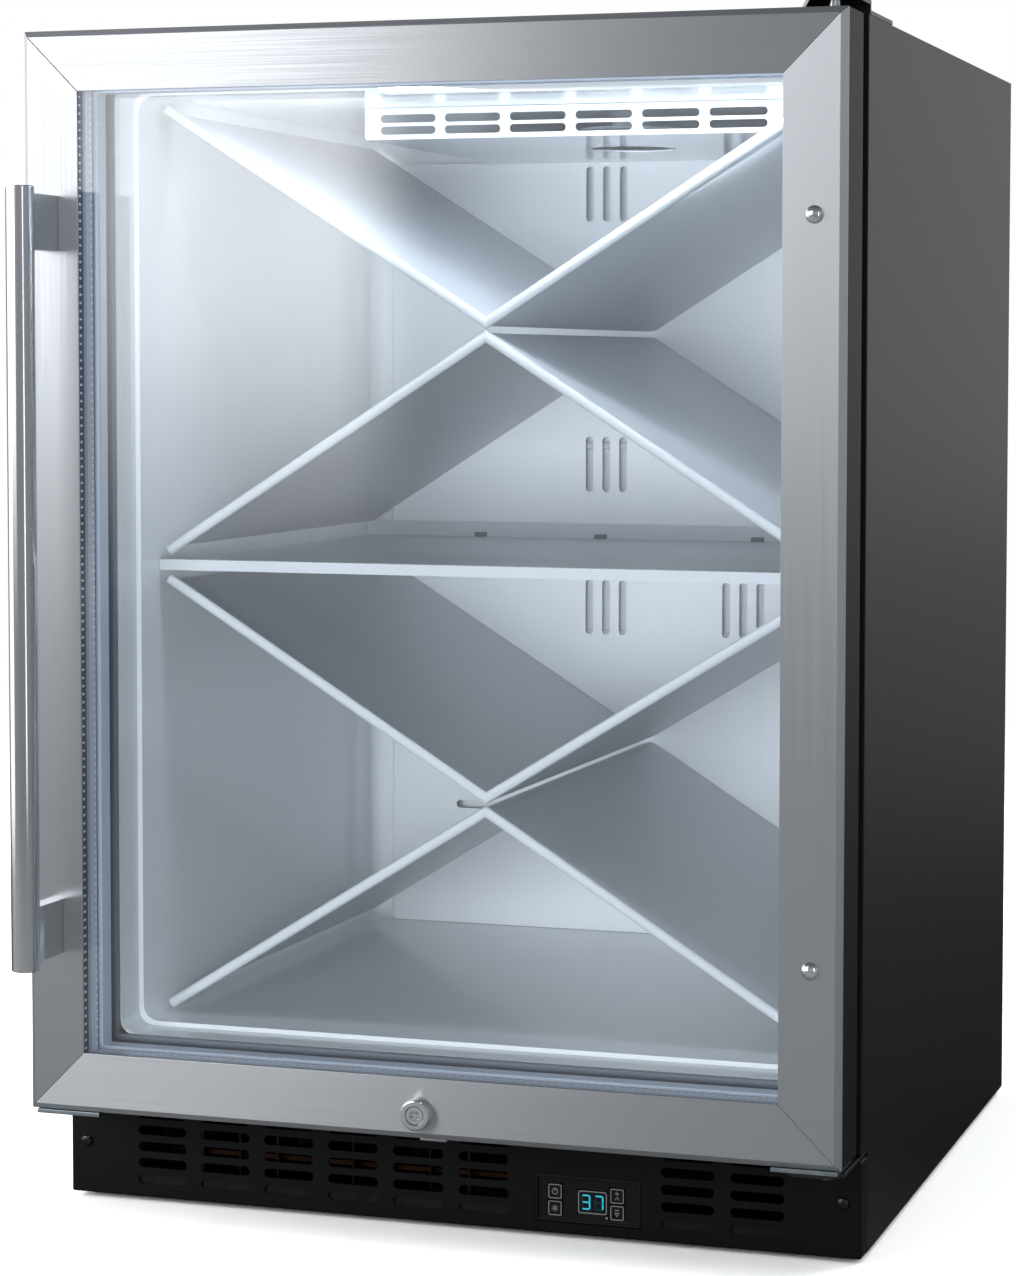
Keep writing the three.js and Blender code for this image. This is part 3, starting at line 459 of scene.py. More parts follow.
liner_abs = powder_coat("liner_abs", (0.68, 0.71, 0.745), 0.14, grain=260.0, depth=0.03,
                        spread=0.05, drift=0.04)
liner_low, liner_high = (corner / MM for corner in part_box("inner_liner"))
LINER_WALL = 1.5
LINER_STEP = 3
LINER_RADIUS = 12
STEP_BACK = -172
tub_half = liner_high.x - LINER_WALL - LINER_STEP
tub_low = liner_low.z + LINER_WALL + LINER_STEP
tub_high = liner_high.z - LINER_WALL - LINER_STEP
tub_back = liner_high.y - LINER_WALL

tub = bmesh.new()
bmesh.ops.create_cube(tub, size=1.0)
tub_size = Vector((tub_half * 2, tub_back - STEP_BACK, tub_high - tub_low))
bmesh.ops.scale(tub, verts=tub.verts, vec=tub_size * MM)
bmesh.ops.translate(tub, verts=tub.verts,
                    vec=Vector((0, (tub_back + STEP_BACK) / 2, (tub_high + tub_low) / 2)) * MM)
mouth = [face for face in tub.faces if face.normal.y < -0.5]
bmesh.ops.delete(tub, geom=mouth, context="FACES_ONLY")
bmesh.ops.bevel(tub, geom=[edge for edge in tub.edges if not edge.is_boundary], offset=LINER_RADIUS * MM,
                offset_type="OFFSET", segments=5, profile=0.5, affect="EDGES", material=-1)
for stretch, forward in ((True, 1.5), (False, STEP_BACK - 1.5 - liner_low.y)):
    rim = [edge for edge in tub.edges if edge.is_boundary]
    grown = bmesh.ops.extrude_edge_only(tub, edges=rim)["geom"]
    moved = [item for item in grown if isinstance(item, bmesh.types.BMVert)]
    bmesh.ops.translate(tub, verts=moved, vec=(0, -forward * MM, 0))
    if stretch:
        middle = Vector((0, 0, (tub_high + tub_low) / 2 * MM))
        wider = Vector((1 + LINER_STEP / tub_half, 1, 1 + LINER_STEP * 2 / (tub_high - tub_low)))
        bmesh.ops.scale(tub, verts=moved, vec=wider, space=Matrix.Translation(-middle))
bmesh.ops.recalc_face_normals(tub, faces=tub.faces)
bmesh.ops.solidify(tub, geom=list(tub.faces), thickness=-LINER_WALL * MM)
bmesh.ops.recalc_face_normals(tub, faces=tub.faces)
lit_inside.objects.link(put("liner_tub", tub, liner_abs, "cabinet", "white_liner", "inner_liner"))

foam_finish = powder_coat("cream_foam", (0.75, 0.66, 0.42), 0.85, grain=420.0, depth=0.3, drift=0.2)
frame["nodes"]["insulation_foam"].data.materials.clear()
frame["nodes"]["insulation_foam"].data.materials.append(foam_finish)

# ------------------------------------------------------------------ mouth frame and chassis
# Black ABS frame round the cabinet's mouth that the gasket closes on, the galvanised deck
# over the machine compartment and the folded base pan that the feet screw into.

black_abs = powder_coat("black_abs", (0.010, 0.011, 0.012), 0.5, grain=600.0, depth=0.03,
                         Specular_IOR_Level=0.2)
mouth_grey = powder_coat("mouth_frame_grey", (0.13, 0.15, 0.18), 0.42, grain=600.0, depth=0.03)
lit_inside.objects.link(put("mouth_frame", worked_copy("front_breaker_frame", 1.0), mouth_grey,
                            "cabinet", "black_plastic", "front_breaker_frame"))


def dress(node, finish):
    """Gives a node that keeps its own shape its finish."""
    materials = frame["nodes"][node].data.materials
    materials.clear()
    materials.append(finish)


dress("machine_deck", galvanised)
# The base pan's zinc is darkened almost to black: painted shade for the shadow under the cabinet.
dress("base_pan", galvanised_finish("base_pan_painted_shade", (0.03, 0.032, 0.034), 0.6))

# ------------------------------------------------------------------ kick plate
# Matte black steel grille across the machine compartment, folded back at both ends, with
# eight columns of five round-ended slots and an opening for the control panel. Two dark
# cross-head screws hold it.

kick_black = powder_coat("kick_plate_black", (0.004, 0.0042, 0.0048), 0.5, grain=1000.0, depth=0.02,
                         Specular_IOR_Level=0.22)
kick_low, kick_high = (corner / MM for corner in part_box("kick_plate"))
SLOT_COLUMNS = [-225, -175, -125, -75, -25, 25, 175, 225]
SLOT_ROWS = [17.5, 29.6, 41.7, 53.8, 65.9]
SLOT = (38.5, 7.0)
PANEL = (62.6, 141.0, 12.0, 46.0)
KICK_SCREWS = [-286, 286]
KICK_SCREW_Z = 42.5

kick = bmesh.new()
kick_edges = corner_loop(kick, kick_low.x, kick_high.x, kick_low.z, kick_high.z, kick_low.y)
kick_edges += corner_loop(kick, *PANEL, kick_low.y)
for x in SLOT_COLUMNS:
    for z in SLOT_ROWS:
        kick_edges += outline_loop(kick, x, z, *SLOT, 3.49, kick_low.y, 16)
filled(kick, kick_edges)
side_edges = [
    edge for edge in kick.edges
    if all(abs(abs(vert.co.x) - kick_high.x * MM) < 1e-6 for vert in edge.verts)
]
grown = bmesh.ops.extrude_edge_only(kick, edges=side_edges)["geom"]
bmesh.ops.translate(kick, verts=[item for item in grown if isinstance(item, bmesh.types.BMVert)],
                    vec=(0, (kick_high.y - kick_low.y) * MM, 0))
bmesh.ops.recalc_face_normals(kick, faces=kick.faces)
corners = [edge for edge in kick.edges if edge.is_manifold and edge.calc_face_angle(0.0) > 1.0]
bmesh.ops.bevel(kick, geom=corners, offset=1.6 * MM, offset_type="OFFSET", segments=4, profile=0.5,
                affect="EDGES", material=-1)
bmesh.ops.recalc_face_normals(kick, faces=kick.faces)
bmesh.ops.solidify(kick, geom=list(kick.faces), thickness=1.0 * MM)
bmesh.ops.recalc_face_normals(kick, faces=kick.faces)
put("kick_grille", kick, kick_black, "cabinet", "black_coated_steel", "kick_plate")

dark_screw = powder_coat("blackened_screw", (0.05, 0.052, 0.055), 0.25, grain=500.0, Metallic=1.0)
kick_screws = bmesh.new()
for x in KICK_SCREWS:
    cross_screw(kick_screws, (x, kick_low.y, KICK_SCREW_Z), 4.5, 2.6, FACING_FRONT)
put("kick_plate_screws", kick_screws, dark_screw, "cabinet", "black_coated_steel")

# ------------------------------------------------------------------ control panel
# Black ABS housing with a recessed face. Four keys with printed light grey outlines and
# plain symbols, a dark display window with an outline and two seven-bar digits, and a
# small indicator lamp under it.

panel_abs = powder_coat("panel_abs", (0.006, 0.0068, 0.0072), 0.42, grain=700.0, depth=0.02,
                        Specular_IOR_Level=0.3)
put("control_panel", worked_copy("control_housing", 0.5), panel_abs, "cabinet", "black_plastic",
    "control_housing")
display_finish = powder_coat("display_window_tint", (0.004, 0.012, 0.016), 0.12, grain=300.0, depth=0.002,
                             spread=0.03)
put("display_lens", worked_copy("display_window", 0.25), display_finish, "cabinet", "display_glass",
    "display_window")

print_grey = powder_coat("grey_print", (0.42, 0.43, 0.45), 0.5, grain=900.0, depth=0.005, drift=0.08)
cyan_lit = powder_coat("lit_cyan", (0.02, 0.30, 0.38), 0.4, grain=900.0, depth=0.002,
                       Emission_Color=(0.03, 0.62, 0.80, 1.0), Emission_Strength=0.75)
cyan_dark = powder_coat("unlit_bar", (0.02, 0.05, 0.06), 0.4, grain=900.0, depth=0.002)


def printed(bm, edges, back):
    """Turns flat outlines into ink 0.1 mm thick."""
    before = set(bm.faces)
    filled(bm, edges)
    fresh = [face for face in bm.faces if face not in before]
    grown = bmesh.ops.extrude_face_region(bm, geom=fresh)["geom"]
    moved = [item for item in grown if isinstance(item, bmesh.types.BMVert)]
    bmesh.ops.translate(bm, verts=moved, vec=(0, back * MM, 0))
    bmesh.ops.recalc_face_normals(bm, faces=bm.faces)


def ink_bar(bm, x, z, length, width, turn, y, back=0.1):
    """One straight stroke of a symbol, turned about its middle."""
    bar = bmesh.ops.create_cube(bm, size=1.0)["verts"]
    bmesh.ops.scale(bm, verts=bar, vec=(length * MM, back * MM, width * MM))
    bmesh.ops.rotate(bm, verts=bar, matrix=Matrix.Rotation(math.radians(-turn), 3, "Y"))
    bmesh.ops.translate(bm, verts=bar, vec=Vector((x, y + back / 2, z)) * MM)


INK = 0.6
key_face = {}
for key in ("power_key", "light_key", "up_key", "down_key"):
    low, high = (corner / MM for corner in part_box(key))
    key_face[key] = ((low.x + high.x) / 2, (low.z + high.z) / 2, low.y)
    put(key + "_cap", worked_copy(key, 0.35), panel_abs, key, "black_plastic", key)
    x, z, y = key_face[key]
    ink = bmesh.new()
    edges = outline_loop(ink, x, z, 9.8, 10.2, 1.3, y - 0.08, 24)
    edges += outline_loop(ink, x, z, 9.8 - INK * 2, 10.2 - INK * 2, 0.8, y - 0.08, 24)
    printed(ink, edges, 0.1)
    if key == "power_key":
        ring = bmesh.ops.create_circle(ink, segments=28, radius=2.3 * MM)["verts"]
        ring += bmesh.ops.create_circle(ink, segments=28, radius=1.75 * MM)["verts"]
        bmesh.ops.rotate(ink, verts=ring, matrix=Matrix.Rotation(math.pi / 2, 3, "X"))
        bmesh.ops.translate(ink, verts=ring, vec=Vector((x, y - 0.08, z)) * MM)
        printed(ink, list({edge for vert in ring for edge in vert.link_edges}), 0.1)
        ink_bar(ink, x, z + 1.3, 0.55, 2.4, 0, y - 0.1)
    elif key == "light_key":
        for turn in (0, 60, 120):
            ink_bar(ink, x, z, 5.0, 0.5, turn + 90, y - 0.08 - turn * 0.0002)
    elif key == "up_key":
        for side in (-1, 1):
            ink_bar(ink, x + side * 0.75, z - 1.7, 2.6, 0.5, -side * 60, y - 0.08)
            ink_bar(ink, x + side * 0.75, z + 1.5, 1.9, 0.5, side * 35, y - 0.083)
        ink_bar(ink, x, z + 2.0, 0.5, 2.4, 0, y - 0.086)
    else:
        ink_bar(ink, x, z + 2.1, 3.2, 0.6, 0, y - 0.08)
        for side in (-1, 1):
            ink_bar(ink, x + side * 0.75, z - 1.2, 2.9, 0.5, side * 60, y - 0.08)
        ink_bar(ink, x, z + 0.1, 3.2, 0.5, 0, y - 0.083)
    put(key + "_print", ink, print_grey, key, "grey_plastic")

window_low, window_high = (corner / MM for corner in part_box("display_window"))
WINDOW = ((window_low.x + window_high.x) / 2, (window_low.z + window_high.z) / 2, window_low.y)
window_ink = bmesh.new()
edges = outline_loop(window_ink, WINDOW[0], WINDOW[1], 21.2, 16.2, 1.8, WINDOW[2] - 0.08, 24)
edges += outline_loop(window_ink, WINDOW[0], WINDOW[1], 19.8, 14.8, 1.1, WINDOW[2] - 0.08, 24)
printed(window_ink, edges, 0.1)
put("display_outline", window_ink, print_grey, "cabinet", "grey_plastic")

DIGIT = (5.4, 9.6, 1.0)
BARS = {
    "top": (0, 0.5, 0), "middle": (0, 0, 0), "bottom": (0, -0.5, 0),
    "upper_left": (-0.5, 0.25, 90), "upper_right": (0.5, 0.25, 90),
    "lower_left": (-0.5, -0.25, 90), "lower_right": (0.5, -0.25, 90),
}
LIT = {
    -4.8: {"top", "middle", "bottom", "upper_right", "lower_right"},
    4.8: {"top", "upper_right", "lower_right"},
}
lit_bars = bmesh.new()
unlit_bars = bmesh.new()
for offset, lit in LIT.items():
    for bar, (across, up, turn) in BARS.items():
        target = lit_bars if bar in lit else unlit_bars
        length = DIGIT[0] - 0.3 if turn == 0 else DIGIT[1] / 2 - 0.3
        ink_bar(target, WINDOW[0] + offset + across * DIGIT[0], WINDOW[1] + up * DIGIT[1],
                length, DIGIT[2], turn, WINDOW[2] - 0.06)
for bars in (lit_bars, unlit_bars):
    uprights = [e for e in bars.edges if abs(e.verts[0].co.y - e.verts[1].co.y) > 0.05 * MM]
    bmesh.ops.bevel(bars, geom=uprights, offset=0.35 * MM, offset_type="OFFSET", segments=1, profile=0.5,
                    affect="EDGES", material=-1)
put("display_digits", lit_bars, cyan_lit, "cabinet", "display_glass")
put("display_dark_bars", unlit_bars, cyan_dark, "cabinet", "display_glass")

indicator = bmesh.new()
bmesh.ops.create_uvsphere(indicator, u_segments=16, v_segments=10, radius=0.9 * MM)
bmesh.ops.scale(indicator, verts=indicator.verts, vec=(1, 0.5, 1))
bmesh.ops.translate(indicator, verts=indicator.verts, vec=Vector((115.6, -210.6, 17.3)) * MM)
put("indicator_lamp", indicator, print_grey, "cabinet", "grey_plastic")

# ------------------------------------------------------------------ hinges and lock keeper
# Black pressed plates: a dished one screwed to the cabinet top and a flat leaf bolted
# under the mouth frame, each with a steel pin. A zinc keeper stands behind the lock's cam.

hinge_black = powder_coat("hinge_black", (0.018, 0.019, 0.020), 0.33, grain=700.0, depth=0.03)
pin_steel = galvanised_finish("pin_steel", (0.62, 0.63, 0.64), 0.22)
put("upper_hinge", worked_copy("upper_hinge_plate", 0.9, 3), hinge_black, "cabinet", "black_coated_steel",
    "upper_hinge_plate")
put("lower_hinge", worked_copy("lower_hinge_bracket", 0.5), hinge_black, "cabinet", "black_coated_steel",
    "lower_hinge_bracket")
put("upper_pin", worked_copy("upper_hinge_pin", 0.3, angle=40), pin_steel, "cabinet", "polished_stainless",
    "upper_hinge_pin", smooth=50)
put("lower_pin", worked_copy("lower_hinge_pin", 0.3, angle=40), pin_steel, "cabinet", "zinc_plate",
    "lower_hinge_pin", smooth=50)
put("lock_keeper", worked_copy("lock_strike", 0.25), screw_steel, "cabinet", "zinc_plate", "lock_strike")

hinge_screws = bmesh.new()
for x, y in ((287, -192), (287, -146), (271, -178)):
    cross_screw(hinge_screws, (x, y, 854.3), 4.6, 2.2)
for x, y in ((264, -203), (287, -203)):
    cross_screw(hinge_screws, (x, y, 72.3), 4.6, 2.6, UPSIDE_DOWN)
put("hinge_screws", hinge_screws, dark_screw, "cabinet", "black_coated_steel")

# ------------------------------------------------------------------ air ducts and fan
# Pale ABS covers: one up the back wall over the evaporator and one under the ceiling round
# the circulation fan, both with round-ended slots.

duct_low, duct_high = (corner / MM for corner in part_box("duct_panel"))
back_duct = bmesh.new()
duct_edges = corner_loop(back_duct, duct_low.x, duct_high.x, duct_low.z, duct_high.z, duct_low.y)
for x in (-40, 82):
    for z in (761, 530, 407):
        for offset in (-15, 0, 15):
            duct_edges += outline_loop(back_duct, x + offset, z, 7, 47, 3.49, duct_low.y)
for x in (-153, 153):
    duct_edges += outline_loop(back_duct, x, 231, 47, 7, 3.49, duct_low.y)
filled(back_duct, duct_edges)


def folded_cover(bm, low, high, sides, radius, thickness):
    """Folds the chosen sides of a slotted face back to the wall and gives the cover its thickness."""
    for side in sides:
        chosen = [edge for edge in bm.edges
                  if edge.is_boundary and all(side(vert.co / MM) for vert in edge.verts)]
        grown = bmesh.ops.extrude_edge_only(bm, edges=chosen)["geom"]
        bmesh.ops.translate(bm, verts=[item for item in grown if isinstance(item, bmesh.types.BMVert)],
                            vec=(0, (high.y - low.y) * MM, 0))
    bmesh.ops.remove_doubles(bm, verts=bm.verts, dist=0.01 * MM)
    bmesh.ops.recalc_face_normals(bm, faces=bm.faces)
    folds = [edge for edge in bm.edges if edge.is_manifold and edge.calc_face_angle(0.0) > 1.0]
    bmesh.ops.bevel(bm, geom=folds, offset=radius * MM, offset_type="OFFSET", segments=4, profile=0.5,
                    affect="EDGES", material=-1)
    bmesh.ops.recalc_face_normals(bm, faces=bm.faces)
    bmesh.ops.solidify(bm, geom=list(bm.faces), thickness=thickness * MM)
    bmesh.ops.recalc_face_normals(bm, faces=bm.faces)
    return bm


folded_cover(back_duct, duct_low, duct_high, [
    lambda co: co.x < duct_low.x + 0.1 and co.y < duct_low.y + 0.1,
    lambda co: co.x > duct_high.x - 0.1 and co.y < duct_low.y + 0.1,
], 3.0, 1.2)
lit_inside.objects.link(put("back_duct_cover", back_duct, liner_abs, "cabinet", "white_liner", "duct_panel"))

# The evaporator plate takes a light grey: painted light, so the back duct's slots read light in front of it.
evaporator_metal = powder_coat("evaporator_plate_painted_light", (0.62, 0.65, 0.68), 0.55, grain=300.0, Metallic=0.3)
dress("evaporator_plate", evaporator_metal)
lit_inside.objects.link(frame["nodes"]["evaporator_plate"])

cover_low, cover_high = (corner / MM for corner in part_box("ceiling_duct"))
wheel_low, wheel_high = (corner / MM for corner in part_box("circulation_fan_wheel"))
WHEEL = (wheel_low + wheel_high) / 2
ceiling_front = bmesh.new()
front_edges = corner_loop(ceiling_front, cover_low.x, cover_high.x, cover_low.z, cover_high.z, cover_low.y)
for column in range(-2, 4):
    for z in (794.8, 803.8):
        front_edges += outline_loop(ceiling_front, column * 52.4, z, 45, 6.4, 3.19, cover_low.y)
filled(ceiling_front, front_edges)
tray = bmesh.new()
tray_edges = corner_loop(tray, cover_low.x, cover_high.x, -cover_high.y, -cover_low.y, 0)
tray_edges += outline_loop(tray, WHEEL.x, -WHEEL.y, 68, 68, 33.9, 0, 32)
filled(tray, tray_edges)
bmesh.ops.rotate(tray, verts=tray.verts, matrix=Matrix.Rotation(math.pi / 2, 3, "X"))
bmesh.ops.translate(tray, verts=tray.verts, vec=(0, 0, cover_low.z * MM))
tray_mesh = bpy.data.meshes.new("tray")
tray.to_mesh(tray_mesh)
tray.free()
ceiling_front.from_mesh(tray_mesh)
bpy.data.meshes.remove(tray_mesh)
bmesh.ops.remove_doubles(ceiling_front, verts=ceiling_front.verts, dist=0.01 * MM)
folded_cover(ceiling_front, cover_low, cover_high, [], 2.0, 1.2)
lit_inside.objects.link(
    put("ceiling_duct_cover", ceiling_front, liner_abs, "cabinet", "white_liner", "ceiling_duct"))

fan_plastic = powder_coat("fan_plastic", (0.03, 0.031, 0.033), 0.4, grain=500.0, depth=0.03)
# The circulation fan's wheel and motor are black plastic but take a pale grey here: painted light, so the
# ceiling duct's slots read light in front of them.
fan_plastic_painted_light = powder_coat("fan_plastic_painted_light", (0.50, 0.53, 0.57), 0.4, grain=500.0, depth=0.03)
lit_inside.objects.link(
    put("circulation_wheel", worked_copy("circulation_fan_wheel", 0.25, 1), fan_plastic_painted_light,
        "circulation_fan_wheel", "black_plastic", "circulation_fan_wheel", smooth=40))
lit_inside.objects.link(
    put("circulation_motor", worked_copy("circulation_fan_motor", 0.8, 2), fan_plastic_painted_light,
        "cabinet", "black_plastic", "circulation_fan_motor", smooth=40))

# ------------------------------------------------------------------ cabinet lamp
# Lamp strip behind a frosted lens, set across the ceiling just inside the mouth.

lens_finish = powder_coat("frosted_lens", (0.85, 0.88, 0.92), 0.35, grain=500.0, depth=0.02,
                          Emission_Color=(0.93, 0.97, 1.0, 1.0), Emission_Strength=0.6)
put("lamp_lens", worked_copy("light_strip", 1.2, 3), lens_finish, "cabinet", "lamp_lens", "light_strip")
lens_low, lens_high = (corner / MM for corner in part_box("light_strip"))
lamp_middle = (lens_low + lens_high) / 2
softbox("cabinet_lamp", (lamp_middle.x * MM, lamp_middle.y * MM, (lens_low.z - 1.5) * MM), (0.05, 0.05, 0.25),
        0.30, 0.03, 0.9, (0.90, 0.95, 1.0))

# ------------------------------------------------------------------ shelf and bottle racks
# Sheet steel with a pale grey-blue coat. The shelf lies across the middle; above and below
# it two folded sheets stand back to back as a cross. Every front edge is rolled into a bead
# and every fold is rounded. Three small dark clips hold the shelf's back edge.

rack_coat = powder_coat("rack_coat", (0.52, 0.55, 0.59), 0.36, grain=420.0, depth=0.02, drift=0.05)
RACK_FRONT = -137.0
RACK_BACK = 283.5
RACK_HALF = 254.0
RACK_SHEET = 1.5
BEAD = 8.0
GAP = 0.3


def rack_sheet(name, node):
    """One folded sheet: a strip along the fold, thickened, with a round bead on its front edge."""
    mesh = frame["nodes"][node].data
    middle = [vert.co.z / MM for vert in mesh.vertices if abs(vert.co.x) < 0.01 * MM]
    edge = [vert.co.z / MM for vert in mesh.vertices if abs(vert.co.x) > RACK_HALF * MM - 0.0001]
    side = 1 if sum(edge) / len(edge) > sum(middle) / len(middle) else -1
    fold = min(middle) if side > 0 else max(middle)
    end = min(edge) if side > 0 else max(edge)
    slope = math.atan2(abs(end - fold), RACK_HALF)
    strip = bmesh.new()
    verts = [strip.verts.new(Vector((x, RACK_FRONT, z)) * MM)
             for x, z in ((-RACK_HALF, end), (0, fold), (RACK_HALF, end))]
    edges = [strip.edges.new(pair) for pair in zip(verts, verts[1:])]
    grown = bmesh.ops.extrude_edge_only(strip, edges=edges)["geom"]
    bmesh.ops.translate(strip, verts=[item for item in grown if isinstance(item, bmesh.types.BMVert)],
                        vec=(0, (RACK_BACK - RACK_SHEET - GAP - RACK_FRONT) * MM, 0))
    bmesh.ops.recalc_face_normals(strip, faces=strip.faces)
    if (strip.faces[:][0].normal.z > 0) != (side > 0):
        bmesh.ops.reverse_faces(strip, faces=strip.faces)
    bends = [e for e in strip.edges if e.is_manifold]
    bmesh.ops.bevel(strip, geom=bends, offset=7 * MM, offset_type="OFFSET", segments=5, profile=0.5,
                    affect="EDGES", material=-1)
    bmesh.ops.solidify(strip, geom=list(strip.faces), thickness=-RACK_SHEET * MM)
    bmesh.ops.recalc_face_normals(strip, faces=strip.faces)
    rings = []
    lift = BEAD / 2 / math.cos(slope)
    reach = RACK_HALF - BEAD / 2 * math.sin(slope)
    for x, lean in ((-reach, -side * slope), (0, 0.0), (reach, side * slope)):
        ring = bmesh.ops.create_circle(strip, segments=12, radius=BEAD / 2 * MM)["verts"]
        bmesh.ops.rotate(strip, verts=ring, matrix=Matrix.Rotation(math.pi / 2, 3, "Y"))
        if x == 0:
            bmesh.ops.scale(strip, verts=ring, vec=(1, 1, 1 / math.cos(slope)))
        else:
            lean = side * slope * (1 if x < 0 else -1)
            bmesh.ops.rotate(strip, verts=ring, matrix=Matrix.Rotation(lean, 3, "Y"))
        z = fold + side * lift + side * abs(x) * math.tan(slope)
        bmesh.ops.translate(strip, verts=ring, vec=Vector((x, RACK_FRONT, z)) * MM)
        rings.append(list({e for vert in ring for e in vert.link_edges}))
    bmesh.ops.bridge_loops(strip, edges=rings[0] + rings[1])
    bmesh.ops.bridge_loops(strip, edges=rings[1] + rings[2])
    ends = [e for e in strip.edges if e.is_boundary]
    bmesh.ops.holes_fill(strip, edges=ends, sides=0)
    bmesh.ops.recalc_face_normals(strip, faces=strip.faces)
    lit_inside.objects.link(put(name, strip, rack_coat, "cabinet", "white_steel", node, smooth=40))


for half in ("upper", "lower"):
    rack_sheet(half + "_vee_sheet", half + "_rack_vee")
    rack_sheet(half + "_peak_sheet", half + "_rack_peak")

lit_inside.objects.link(
    put("shelf", worked_copy("middle_shelf", 1.6, 4), rack_coat, "cabinet", "white_steel", "middle_shelf"))
clips = bmesh.new()
for x in (-153, -44, 95):
    clip = bmesh.ops.create_cube(clips, size=1.0)["verts"]
    bmesh.ops.scale(clips, verts=clip, vec=Vector((11, 3, 4)) * MM)
    bmesh.ops.translate(clips, verts=clip, vec=Vector((x, 280.3, 467.9)) * MM)
bmesh.ops.bevel(clips, geom=list(clips.edges), offset=0.8 * MM, offset_type="OFFSET", segments=2, profile=0.5,
                affect="EDGES", material=-1)
clip_grey = powder_coat("clip_grey", (0.16, 0.18, 0.21), 0.5, grain=500.0, depth=0.02)
lit_inside.objects.link(put("shelf_clips", clips, clip_grey, "cabinet", "grey_plastic"))

# ------------------------------------------------------------------ machine compartment
# Hermetic compressor on rubber mounts, a finned copper condenser with its fan and shroud,
# a plastic tray that the defrost water dries from, and the mains inlet at the back.

compressor_paint = powder_coat("compressor_paint", (0.012, 0.012, 0.013), 0.3, grain=350.0, depth=0.05)
put("compressor_can", worked_copy("compressor", 0.6, 2, angle=45), compressor_paint, "cabinet",
    "black_coated_steel", "compressor", smooth=40)
rubber = powder_coat("black_rubber", (0.018, 0.018, 0.019), 0.75, grain=800.0, depth=0.05)
mounts = bmesh.new()
for x in (90, 190):
    for y in (200, 270):
        mount = bmesh.ops.create_cone(mounts, cap_ends=True, segments=24, radius1=7 * MM, radius2=6 * MM,
                                      depth=6.3 * MM)["verts"]
        bmesh.ops.translate(mounts, verts=mount, vec=Vector((x, y, 14.95)) * MM)
put("compressor_mounts", mounts, rubber, "cabinet", "black_rubber")
# The condenser's copper is darkened far below bare copper: painted shade for the shadow in the machine
# compartment.
copper = powder_coat("copper_fins_painted_shade", (0.13, 0.065, 0.04), 0.5, grain=300.0, depth=0.02, Metallic=1.0)
dress("condenser_coil", copper)
put("fan_shroud", worked_copy("condenser_fan_shroud", 0.4, 1), fan_plastic, "cabinet", "black_plastic",
    "condenser_fan_shroud", smooth=40)
put("fan_motor", worked_copy("condenser_fan_motor", 0.4, 1), fan_plastic, "cabinet", "black_plastic",
    "condenser_fan_motor", smooth=40)
put("fan_blades", worked_copy("condenser_fan_blade", 0.2, 1), fan_plastic, "condenser_fan_blade",
    "black_plastic", "condenser_fan_blade", smooth=40)
put("water_tray", worked_copy("drain_tray", 0.6), fan_plastic, "cabinet", "black_plastic", "drain_tray")
put("mains_inlet", worked_copy("power_inlet", 0.4), black_abs, "cabinet", "black_plastic", "power_inlet",
    smooth=40)

# ------------------------------------------------------------------ feet
# Levelling feet: a zinc screw moulded into a round black rubber pad.

for corner_name in ("front_left", "front_right", "rear_left", "rear_right"):
    node = corner_name + "_foot"
    low, high = (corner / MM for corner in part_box(node))
    profile = [(0, 0), (16.4, 0), (17.6, 0.6), (18, 1.8), (18, 4.6), (17.4, 5.8), (15, 7.5), (5, 8),
               (5, 38.4), (4.4, 39), (0, 39)]
    foot = turned(profile, 40)
    stand = Vector(((low.x + high.x) / 2, (low.y + high.y) / 2, low.z))
    bmesh.ops.translate(foot, verts=foot.verts, vec=stand * MM)
    put(corner_name + "_pad", foot, rubber, node, "black_rubber", node)

# ------------------------------------------------------------------ door trims
# Four channels of brushed stainless sheet, mitred at the corners, with bevelled outer
# edges; the grain runs along each one. They clip over the door's plastic core.


